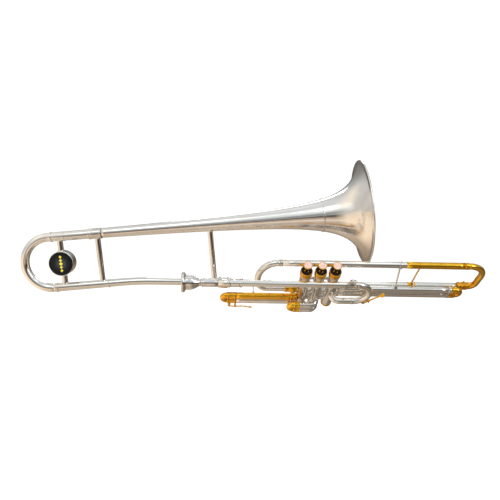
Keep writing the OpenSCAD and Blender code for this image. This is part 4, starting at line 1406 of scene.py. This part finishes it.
@dataclass
class LyreClip:
    """The clip for a music lyre, with its wing screw."""

    shop: Workshop
    x: float = 239.0
    length: float = 9.0
    height: float = 9.6
    hole: float = 2.4
    lean: float = 50.0

    def _leaning(self, shells: Sequence[Shell]) -> list[Shell]:
        """Turn shells round the leadpipe's axis, from its top towards the player."""
        turn = turned(self.lean, "X")
        pivot = np.array([0.0, *T.lead])
        return [Shell(pivot + (s.points - pivot) @ turn.T, s.faces, s.uv) for s in shells]

    def build(self) -> None:
        """Turn the sleeve along X and set it on a waisted foot; then the screw."""
        y, z = T.lead
        middle = self.x + self.length / 2
        wall = rounded([[self.x, self.hole], [self.x, 3.55], [self.x + 1.4, 3.75],
                        [self.x + 2.2, 3.3], [self.x + self.length - 2.2, 3.3],
                        [self.x + self.length - 1.4, 3.75], [self.x + self.length, 3.55],
                        [self.x + self.length, self.hole]], 0.3)
        sleeve = lathe(wall, (0, y, z + self.height), (1, 0, 0), True, 48)
        k = np.linspace(0, 1, 12)
        path = np.array([middle, y, z + T.inner - 0.5]) + k[:, None] * (0, 0, 1.9)
        foot = bar(path, (1, 0, 0), 4.3 - 1.0 * np.sin(k * np.pi), 3.3 - 0.9 * np.sin(k * np.pi),
                   4.0, 32)
        boss = rounded([[self.height + 2.7, 1.5], [self.height + 2.7, 3.0],
                        [self.height + 5.2, 3.0], [self.height + 5.4, 2.7],
                        [self.height + 5.4, 1.5]], 0.3)
        up = lathe(boss, (middle, y, z), (0, 0, 1), True, 40)
        self.shop.piece("lyre_sleeve", self._leaning([sleeve, foot, up]), Finish.FITTING,
                        "valve_section", "lyre_socket")
        base = self.height + self.hole + 0.3
        stem = np.vstack([[[base, 0.0]], rounded(
            [[base, 1.4], [base + 3.6, 1.4], [base + 4, 2.6], [base + 5.4, 2.8],
             [base + 6.4, 2.2], [base + 6.6, 1.0]], 0.35, 4, False), [[base + 6.6, 0.0]]])
        screw = [lathe(stem, (middle, y, z), (0, 0, 1), False, 40)]
        for way in (-1, 1):
            k = np.linspace(0, 1, 18)
            path = np.stack([middle + way * (0.8 + 4.5 * k ** 0.9), y + 0 * k,
                             z + base + 5.0 + 3.4 * k ** 1.3], 1)
            width = 1.1 + 0.75 * np.sin(np.pi * k ** 1.3)
            screw.append(bar(path, (0, 1, 0), 0.8 - 0.25 * k, width * (1 - 0.25 * k ** 8), 2.4,
                             20))
        self.shop.piece("wing_screw", self._leaning(screw), Finish.FITTING, "lyre_screw",
                        "lyre_screw")


# ---------------------------------------------------------------- slides


@dataclass
class Slides:
    """The tuning slide and the three valve slides that pull out.

    A valve slide's cut is the length of its ferrules and the length of its inner legs.
    """

    shop: Workshop
    tubes: FixedTubes
    tuning_x: float = 351.0
    tuning_end: tuple[float, float] = (463.0, 473.0)
    tuning_ferrule: tuple[float, float] = (7.5, 19.5)
    tuning_bends: tuple[float, float] = (36.0, 14.0)
    lower_start: float = 374.0
    first_cut: tuple[float, float] = (17.0, 95.0)
    second_cut: tuple[float, float] = (12.0, 16.0)
    third_cut: tuple[float, float] = (9.0, 150.0)

    def tuning(self) -> None:
        """Sleeves, ferrules, bow and brace of the main tuning slide."""
        body = "tuning_slide"
        top, low = self.tubes.top, self.tubes.centre
        self.shop.piece("upper_sleeve", [pipe(x_run(self.tuning_x, self.tuning_end[0], top),
                                              T.outer, T.outer_in)], Finish.GOLD, body,
                        "tuning_upper_sleeve")
        self.shop.piece("lower_sleeve", [pipe(x_run(self.lower_start, self.tuning_end[1], low),
                                              T.outer, T.outer_in)], Finish.SILVER, body,
                        "tuning_lower_sleeve")
        reach = self.tuning_end[0] + self.tuning_ferrule[0] + self.tuning_bends[0]
        shells = [pipe(crook_path(top, low, reach, self.tuning_bends, 1), T.inner, T.bore, 64)]
        for k, at in enumerate((top, low)):
            r = T.outer + (0.5 if k else 0.15)
            a, b = self.tuning_end[k], reach - self.tuning_bends[k]
            shells.append(lathe(rounded([[a, T.inner - 0.1], [a, r], [b - 1.6, r], [b, r - 0.4],
                                         [b, T.inner - 0.1]], 0.5), (0, *at), (1, 0, 0)))
            if k:
                shells.append(bead(a, 3, r - 0.1, 0.7, at))
                shells.append(bead(b - 2.4, 1.8, r - 0.2, 0.5, at))
                shells.append(bead(a + 6.5, 3.5, r - 0.2, 0.9, at))
        self.shop.piece("tuning_crook", shells, Finish.GOLD, body, "tuning_bow")
        x = self.lower_start + 5
        post = saddle_post(np.array([x, *top]), np.array([x, *low]), (1, 0, 0),
                           (T.outer, T.outer), 1.5, 4.5, 3.0)
        shells = [post, bead(self.lower_start - 1, 3, T.outer, 0.7, low),
                  bead(self.lower_start + 11, 3, T.outer, 0.7, low)]
        self.shop.piece("tuning_rod", shells, Finish.GOLD, body, "tuning_brace")

    def _slide(self, name: str, lines: Sequence[Array], face: float, side: int,
               cut: tuple[float, float], radius: float, nodes: tuple[str, str]) -> None:
        """Build one valve slide.

        Args:
            name: the slide's name, which is also its CAD body's.
            lines: [y, z] of its two legs.
            face: where its ferrules meet the outer tubes.
            side: 1 towards +X, -1 towards -X.
            cut: lengths of its ferrules and of its inner legs.
            radius: radius of its ferrules.
            nodes: the CAD nodes of its bow and its legs.
        """
        ferrule, legs = cut
        end = face + side * ferrule
        shells = [pipe(u_path(lines[0], lines[1], end - side * 0.5, side), T.inner, T.bore, 56)]
        for at in lines:
            ring = np.array([[face, T.bore], [face, radius - 0.2],
                             [face + side * 0.8, radius], [face + side * 2.2, radius],
                             [face + side * 2.8, radius - 0.35],
                             [end - side * 3.0, radius - 0.35], [end - side * 2.4, radius],
                             [end - side * 0.9, radius], [end, radius - 0.5], [end, T.bore]])
            shells.append(lathe(rounded(ring, 0.35), (0, *at), (1, 0, 0), True, 56))
        self.shop.piece(f"{name}_bow_and_ferrules", shells, Finish.GOLD, name, nodes[0])
        runs = [pipe(x_run(*sorted((face, face - side * legs)), at), T.inner, T.bore, 40)
                for at in lines]
        self.shop.piece(f"{name}_inner_legs", runs, Finish.SILVER, name, nodes[1])

    def build(self) -> None:
        """Build all four slides."""
        self.tuning()
        t = self.tubes
        self._slide("first_slide", t.first, t.first_end, -1, self.first_cut, T.outer + 0.6,
                    ("first_bow", "first_legs"))
        self._slide("second_slide", t.second, t.second_mouth, -1, self.second_cut,
                    T.outer + 0.5, ("second_bow", "second_legs"))
        self._slide("third_slide", t.third, t.third_end, 1, self.third_cut, T.outer + 0.6,
                    ("third_bow", "third_legs"))


@dataclass
class WaterKey:
    """A sprung key that lets water out of a bow.

    In its own frame x runs from the cork to the touch and z points out of the tube, with
    z = 0 on the tube's surface and the tube's axis at z = -surface.
    """

    shop: Workshop
    name: str
    origin: Array
    turn: Array
    surface: float
    carrier: str
    key: str
    lever_node: str
    saddle_node: Optional[str] = None
    hinge: tuple[float, float] = (12.0, 4.2)
    mouth: float = 3.2
    touch: tuple[float, float] = (42.0, 6.5)

    def _at(self, points: Array) -> Array:
        """Move points from the key's frame to the instrument's."""
        p = np.atleast_2d(np.asarray(points, float)).copy()
        p[:, 2] += self.surface
        return self.origin + p @ self.turn.T

    def _way(self, vector: Sequence[float]) -> Array:
        """Turn a direction from the key's frame to the instrument's."""
        return self.turn @ np.asarray(vector, float)

    def saddle(self) -> None:
        """Nipple, two posts and the pin between them."""
        up = self._way((0, 0, 1))
        nipple = rounded([[-1.2, 1.4], [-1.2, 3.4], [0.4, 3.3], [1.2, 2.6],
                          [self.mouth - 0.3, 2.45], [self.mouth, 2.2], [self.mouth, 1.4]], 0.3)
        shells = [lathe(nipple, self._at((0, 0, 0))[0], up, True, 40)]
        x, z = self.hinge
        k = np.linspace(0, 1, 14)[:, None]
        for side in (-1, 1):
            path = self._at(np.array([x, side * 3.4, -1.6]) + k * (0, 0, z + 3.3))
            half = 1.95 - 0.5 * np.sin(np.pi * k[:, 0]) - 0.9 * k[:, 0] ** 10
            shells.append(bar(path, self._way((1, 0, 0)), half, np.full(14, 0.68), 3.0, 20))
        pin = rounded([[-4.9, 0.0], [-4.9, 1.2], [-4.2, 1.35], [-4.0, 0.85], [4.0, 0.85],
                       [4.2, 1.35], [4.9, 1.2], [4.9, 0.0]], 0.2, 4, False)
        shells.append(lathe(pin, self._at((x, 0, z))[0], self._way((0, 1, 0)), False, 32))
        nodes = (self.saddle_node,) if self.saddle_node else ()
        self.shop.piece(f"{self.name}_saddle", shells, Finish.GOLD, self.carrier, *nodes)

    def lever(self) -> None:
        """Arm that bends over the pin from the cork cup to a spoon-shaped touch."""
        x, z = self.hinge
        tx, tz = self.touch
        curve = smooth_profile([[-1.0, self.mouth + 2.5], [3.0, self.mouth + 2.5],
                                [8.0, z + 1.9], [x, z + 2.4], [x + 5, z + 1.7],
                                [x + 14, z + 1.5], [tx - 8, tz - 0.2], [tx - 3, tz + 0.7],
                                [tx + 2, tz + 1.1], [tx + 4.4, tz + 0.9]], 6)
        path = np.stack([curve[:, 0], 0 * curve[:, 0], curve[:, 1]], 1)
        s = curve[:, 0]
        spoon = np.exp(-((s - tx) / 4.2) ** 4)
        cup = np.exp(-(s / 3.0) ** 2)
        ends = np.clip((tx + 4.7 - s) / 2.2, 0.05, 1) ** 0.5
        width = (1.5 + 2.9 * spoon + 0.7 * cup) * ends
        thick = 1.15 - 0.2 * spoon
        shells = [bar(self._at(path), self._way((0, 1, 0)), width, thick, 3.0, 28)]
        barrel = rounded([[-2.5, 0.95], [-2.5, 2.0], [-1.9, 2.15], [1.9, 2.15], [2.5, 2.0],
                          [2.5, 0.95]], 0.3)
        shells.append(lathe(barrel, self._at((x, 0, z))[0], self._way((0, 1, 0)), True, 36))
        holder = rounded([[self.mouth + 0.9, 0.0], [self.mouth + 0.9, 3.1],
                          [self.mouth + 2.2, 3.0], [self.mouth + 3.0, 1.6],
                          [self.mouth + 3.2, 0.0]], 0.4, 5, False)
        shells.append(lathe(holder, self._at((0, 0, 0))[0], self._way((0, 0, 1)), False, 40))
        self.shop.piece(f"{self.name}_lever", shells, Finish.GOLD, self.key, self.lever_node)
        cork = rounded([[self.mouth + 0.03, 0.0], [self.mouth + 0.03, 2.75],
                        [self.mouth + 1.0, 2.85], [self.mouth + 1.1, 0.0]], 0.3, 4, False)
        self.shop.piece(f"{self.name}_cork", [lathe(cork, self._at((0, 0, 0))[0],
                                                    self._way((0, 0, 1)), False, 32)],
                        Finish.CORK, self.key)

    def build(self) -> None:
        """Build the saddle, the lever and the cork."""
        self.saddle()
        self.lever()


def water_keys(shop: Workshop, tubes: FixedTubes) -> list[WaterKey]:
    """Set out the three water keys.

    Args:
        shop: makes the pieces.
        tubes: gives the lines of the tubes.

    Returns:
        The keys of the tuning slide, the first slide and the leadpipe.
    """
    tuning = WaterKey(shop, "tuning_key", np.array([479.0, 0, 0]), turned(-70, "X"),
                      T.outer + 0.5, "tuning_slide", "tuning_key", "tuning_key_lever")
    low = tubes.first[1]
    first = WaterKey(shop, "first_key", np.array([tubes.first_end - 13, *low]),
                     turned(180, "X"), T.outer + 0.6, "first_slide", "first_key",
                     "first_key_lever")
    d = tubes.entry - tubes.lead
    tilt = turned(np.degrees(np.arctan2(d[1], d[0])), "X")
    spot = tilt @ turned(46, "Z")
    middle = np.array([tubes.lead_bow_x, *((tubes.lead + tubes.entry) / 2)])
    turn = spot @ turned(90, "Y") @ turned(-90, "Z")
    place = middle + spot @ np.array([np.linalg.norm(d) / 2, 0, 0]) + turn @ (-7.0, 0, 0)
    lead = WaterKey(shop, "leadpipe_key", place, turn, T.inner + 1.2, "valve_section",
                    "leadpipe_key", "leadpipe_key_lever", "leadpipe_key_saddle")
    return [tuning, first, lead]


@dataclass
class Mouthpiece:
    """A turned cup mouthpiece."""

    shop: Workshop
    rim_x: float = -69.5
    rim_r: float = 18.7

    def build(self) -> None:
        """Turn the mouthpiece: rounded rim, cup, throat and tapered shank."""
        r = self.rim_r
        t = np.radians(np.arange(160, -80, -10))
        rim = np.stack([4 - 3.4 * np.sin(t), r - 3.2 + 3.2 * np.cos(t)], 1)
        cup = smooth_profile([[8.0, 14.7], [9.2, 13.8], [10.6, 13.6], [13, 13.7], [18, 13.4],
                              [23, 12.2], [28, 9.7], [32.5, 7.1], [34.0, 6.7]], 6)
        shank = rounded([[34.4, 6.9], [35.6, 6.9], [36.0, 6.1], [37, 5.9], [48, 5.88],
                         [60, 5.86], [60, 4.6]], 0.3, 4, False)
        hollow = smooth_profile([[58, 4.5], [38, 3.4], [28, 3.2], [24, 5.5], [17, 9.5],
                                 [9, 11.8], [4.5, 12.5], [2.2, 13.0]], 5)
        profile = np.vstack([rim, cup, shank, hollow])
        shell = lathe(profile, (self.rim_x, *T.lead), (1, 0, 0), True, 120)
        self.shop.piece("mouthpiece_cup", [shell], Finish.FITTING, "mouthpiece", "mouthpiece")


# ---------------------------------------------------------------- studio


@dataclass
class Studio:
    """Pale floor, soft light, a dome of painted reflections and the camera, in metres."""

    floor_z: float = -0.62
    floor_r: float = 9.0
    dome_r: float = 2.4
    # Colour stops by height of the dome's painted reflections, for the front, back and side; the
    # dark bands are painted shade.
    front_stops: tuple = ((-1.0, (0.64, 0.53, 0.42)), (1.0, (0.74, 0.77, 0.79)),
                          (-0.62, (0.58, 0.47, 0.37)), (-0.46, (1.05, 0.92, 0.78)),
                          (-0.36, (0.46, 0.37, 0.29)), (-0.22, (0.60, 0.47, 0.37)),
                          (-0.12, (0.09, 0.065, 0.05)), (0.03, (0.05, 0.05, 0.05)),
                          (0.10, (0.62, 0.64, 0.64)), (0.17, (0.20, 0.22, 0.23)),
                          (0.34, (0.40, 0.44, 0.46)), (0.46, (0.78, 0.84, 0.86)),
                          (0.66, (0.70, 0.76, 0.78)))
    back_stops: tuple = ((-1.0, (0.64, 0.53, 0.42)), (1.0, (0.74, 0.77, 0.79)),
                         (-0.60, (0.50, 0.40, 0.30)), (-0.15, (0.22, 0.17, 0.13)),
                         (0.0, (0.12, 0.105, 0.09)), (0.20, (0.20, 0.20, 0.19)),
                         (0.62, (0.50, 0.52, 0.52)))
    side_stops: tuple = ((-1.0, (1.00, 0.80, 0.60)), (1.0, (0.95, 0.90, 0.82)),
                         (-0.40, (1.10, 0.90, 0.68)), (-0.06, (0.92, 0.80, 0.66)),
                         (0.08, (0.62, 0.61, 0.60)), (0.40, (0.66, 0.66, 0.65)),
                         (0.66, (1.0, 0.92, 0.80)))
    # Soft bright panels of the dome, painted highlights in the metal: direction, inner and outer
    # edge, strength.
    panels: tuple = (((-0.5, -1.0, 1.3), 0.994, 0.975, 1.6), ((0.5, -0.8, 1.2), 0.994, 0.98, 1.3),
                     ((0.1, 0.2, 1.2), 0.99, 0.95, 0.25), ((-0.9, -0.5, 0.5), 0.99, 0.95, 0.35))
    camera_at: tuple[float, float, float] = (0.02091, -1.08572, 0.24842)
    camera_turn: tuple[float, float, float] = (9.575, 1.248, 1.810)
    lens: float = 40.47

    def floor(self) -> None:
        """A wide pale disc under the instrument."""
        t = np.linspace(0, 2 * np.pi, 96, endpoint=False)
        points = np.stack([self.floor_r * np.cos(t), self.floor_r * np.sin(t),
                           np.full(96, self.floor_z)], 1)
        mesh = bpy.data.meshes.new("floor")
        mesh.from_pydata(points.tolist(), [], [list(range(96))])
        material, tree, shader = blank_material("floor_paper")
        where = tree.nodes.new("ShaderNodeTexCoord").outputs["Object"]
        grain = noise(tree, where, 300.0, 2.0).outputs["Fac"]
        tree.links.new(mixed(tree, grain, (0.93, 0.93, 0.93), (0.96, 0.96, 0.96)),
                       shader.inputs["Base Color"])
        shader.inputs["Roughness"].default_value = 0.9
        mesh.materials.append(material)
        obj = bpy.data.objects.new("floor", mesh)
        bpy.context.scene.collection.objects.link(obj)
        obj.visible_glossy = False

    def dome(self) -> None:
        """A dome that only polished metal sees: r (cos e cos a, cos e sin a, sin e).

        Its glow paints the reflections in the metal, graded by height, darkest at the horizon,
        warm below and cool above.
        It is paler to the left, dimmer low on the right with painted shade, and has soft bright
        panels that paint highlights.
        """
        e = np.radians(np.linspace(-90, 90, 49))[:, None]
        a = np.linspace(0, 2 * np.pi, 97)[None, :-1]
        points = self.dome_r * np.stack([np.cos(e) * np.cos(a), np.cos(e) * np.sin(a),
                                         np.sin(e) + 0 * a], 2).reshape(-1, 3)
        i, j = np.meshgrid(np.arange(48), np.arange(96), indexing="ij")
        i, j = i.ravel() * 96, j.ravel()
        k = (j + 1) % 96
        faces = np.stack([i + j, i + k, i + 96 + k, i + 96 + j], 1)
        mesh = bpy.data.meshes.new("reflection_dome")
        mesh.from_pydata(points.tolist(), [], faces.tolist())
        material = bpy.data.materials.new("painted_reflection_grade")
        material.use_nodes = True
        tree = material.node_tree
        tree.nodes.clear()
        where = tree.nodes.new("ShaderNodeTexCoord").outputs["Object"]
        parts = tree.nodes.new("ShaderNodeSeparateXYZ")
        tree.links.new(where, parts.inputs[0])
        x, y, z = (mathed(tree, "DIVIDE", out, self.dome_r) for out in parts.outputs)
        wobble = noise(tree, where, 0.8, 2.0, 0.5, 0.6).outputs["Fac"]
        height = mathed(tree, "ADD", z, mathed(tree, "MULTIPLY_ADD", wobble, 0.26, -0.13))
        front = self.grade(tree, height, self.front_stops)
        back = self.grade(tree, height, self.back_stops)
        side = self.grade(tree, height, self.side_stops)
        base = mixed(tree, remap(tree, y, -0.25, 0.35), front, back)
        base = mixed(tree, remap(tree, x, -0.36, -0.66), base, side)
        # Painted shade: the dome's reflections grow dark low on the right.
        shade = mathed(tree, "MULTIPLY", remap(tree, x, 0.02, 0.36, 0.0, 0.62),
                       remap(tree, z, 0.25, -0.2))
        base = mixed(tree, shade, base, (0.035, 0.028, 0.02))
        glow = tree.nodes.new("ShaderNodeEmission")
        tree.links.new(base, glow.inputs["Color"])
        # Painted highlights: the panels add to the dome's glow.
        panels = None
        for way, near, far, power in self.panels:
            v = unit(way)
            dot = mathed(tree, "ADD", mathed(tree, "MULTIPLY", x, float(v[0])),
                         mathed(tree, "ADD", mathed(tree, "MULTIPLY", y, float(v[1])),
                                mathed(tree, "MULTIPLY", z, float(v[2]))))
            one = remap(tree, dot, far, near, 0.0, power)
            panels = one if panels is None else mathed(tree, "ADD", panels, one)
        tree.links.new(mathed(tree, "ADD", panels, 1.0), glow.inputs["Strength"])
        out = tree.nodes.new("ShaderNodeOutputMaterial")
        tree.links.new(glow.outputs[0], out.inputs["Surface"])
        mesh.materials.append(material)
        obj = bpy.data.objects.new("reflection_dome", mesh)
        bpy.context.scene.collection.objects.link(obj)
        obj.visible_camera = False
        obj.visible_diffuse = False
        obj.visible_shadow = False
        obj.visible_transmission = False

    @staticmethod
    def grade(tree: bpy.types.NodeTree, height: bpy.types.NodeSocket,
              stops: Sequence[tuple[float, tuple[float, float, float]]]
              ) -> bpy.types.NodeSocket:
        """Add a colour ramp over height, given as [height, colour] stops."""
        ramp = tree.nodes.new("ShaderNodeValToRGB")
        tree.links.new(remap(tree, height, -1.0, 1.0), ramp.inputs["Fac"])
        elements = ramp.color_ramp.elements
        for index, (level, colour) in enumerate(stops):
            place = (level + 1) / 2
            if index < 2:
                elements[index].position = place
            spot = elements[index] if index < 2 else elements.new(place)
            spot.color = (*colour, 1)
        return ramp.outputs["Color"]

    @staticmethod
    def light(name: str, place: Sequence[float], aim: Sequence[float], size: tuple[float, float],
              power: float, colour: tuple[float, float, float]) -> None:
        """Hang one soft rectangular light.

        Args:
            name: the light's name.
            place: where it hangs.
            aim: what it points at.
            size: its two sides.
            power: its power in watts.
            colour: its colour.
        """
        data = bpy.data.lights.new(name, "AREA")
        data.shape = "RECTANGLE"
        data.size, data.size_y = size
        data.energy = power
        data.color = colour
        obj = bpy.data.objects.new(name, data)
        bpy.context.scene.collection.objects.link(obj)
        obj.location = place
        way = Vector(aim) - Vector(place)
        obj.rotation_euler = way.to_track_quat("-Z", "Y").to_euler()

    def lights(self) -> None:
        """An even pale world with a key, a fill and a back light."""
        world = bpy.data.worlds.new("studio_air")
        world.use_nodes = True
        world.node_tree.nodes["Background"].inputs[0].default_value = (1, 1, 1, 1)
        world.node_tree.nodes["Background"].inputs[1].default_value = 1.12
        bpy.context.scene.world = world
        aim = (0.0, 0.0, 0.05)
        self.light("key_light", (-1.0, -1.4, 1.7), aim, (1.5, 0.7), 16, (1.0, 0.98, 0.95))
        self.light("fill_light", (1.5, -1.2, 0.9), aim, (0.6, 1.2), 6, (0.93, 0.97, 1.0))
        self.light("back_light", (0.2, 1.7, 1.5), aim, (2.0, 0.5), 10, (1.0, 1.0, 1.0))

    def camera(self) -> None:
        """Put the camera where its three axes come from one turn of the world's."""
        turn = Vector([np.radians(v) for v in self.camera_turn])
        m = Matrix.Rotation(turn.length, 3, turn.normalized())
        right, ahead, up = m[0], m[1], m[2]
        pose = Matrix([[right[k], up[k], -ahead[k]] for k in range(3)]).to_4x4()
        pose.translation = self.camera_at
        data = bpy.data.cameras.new("camera")
        data.lens = self.lens
        data.sensor_width = 36.0
        data.clip_end = 60.0
        obj = bpy.data.objects.new("camera", data)
        bpy.context.scene.collection.objects.link(obj)
        obj.matrix_world = pose
        bpy.context.scene.camera = obj
        bpy.context.scene.view_settings.view_transform = "Standard"

    def build(self) -> None:
        """Build the studio."""
        self.floor()
        self.dome()
        self.lights()
        self.camera()


def main() -> None:
    """Build the instrument and its studio."""
    logging.basicConfig(level=logging.INFO, format="%(name)s: %(message)s")
    shop = Workshop()
    tubes = FixedTubes(shop)
    BellSection(shop).build()
    BellLock(shop).build()
    ValveRow(shop).build()
    tubes.build()
    LyreClip(shop).build()
    Slides(shop, tubes).build()
    for key in water_keys(shop, tubes):
        key.build()
    Mouthpiece(shop).build()
    Studio().build()
    LOG.info("%d pieces built", shop.count)


if __name__ == "__main__":
    main()
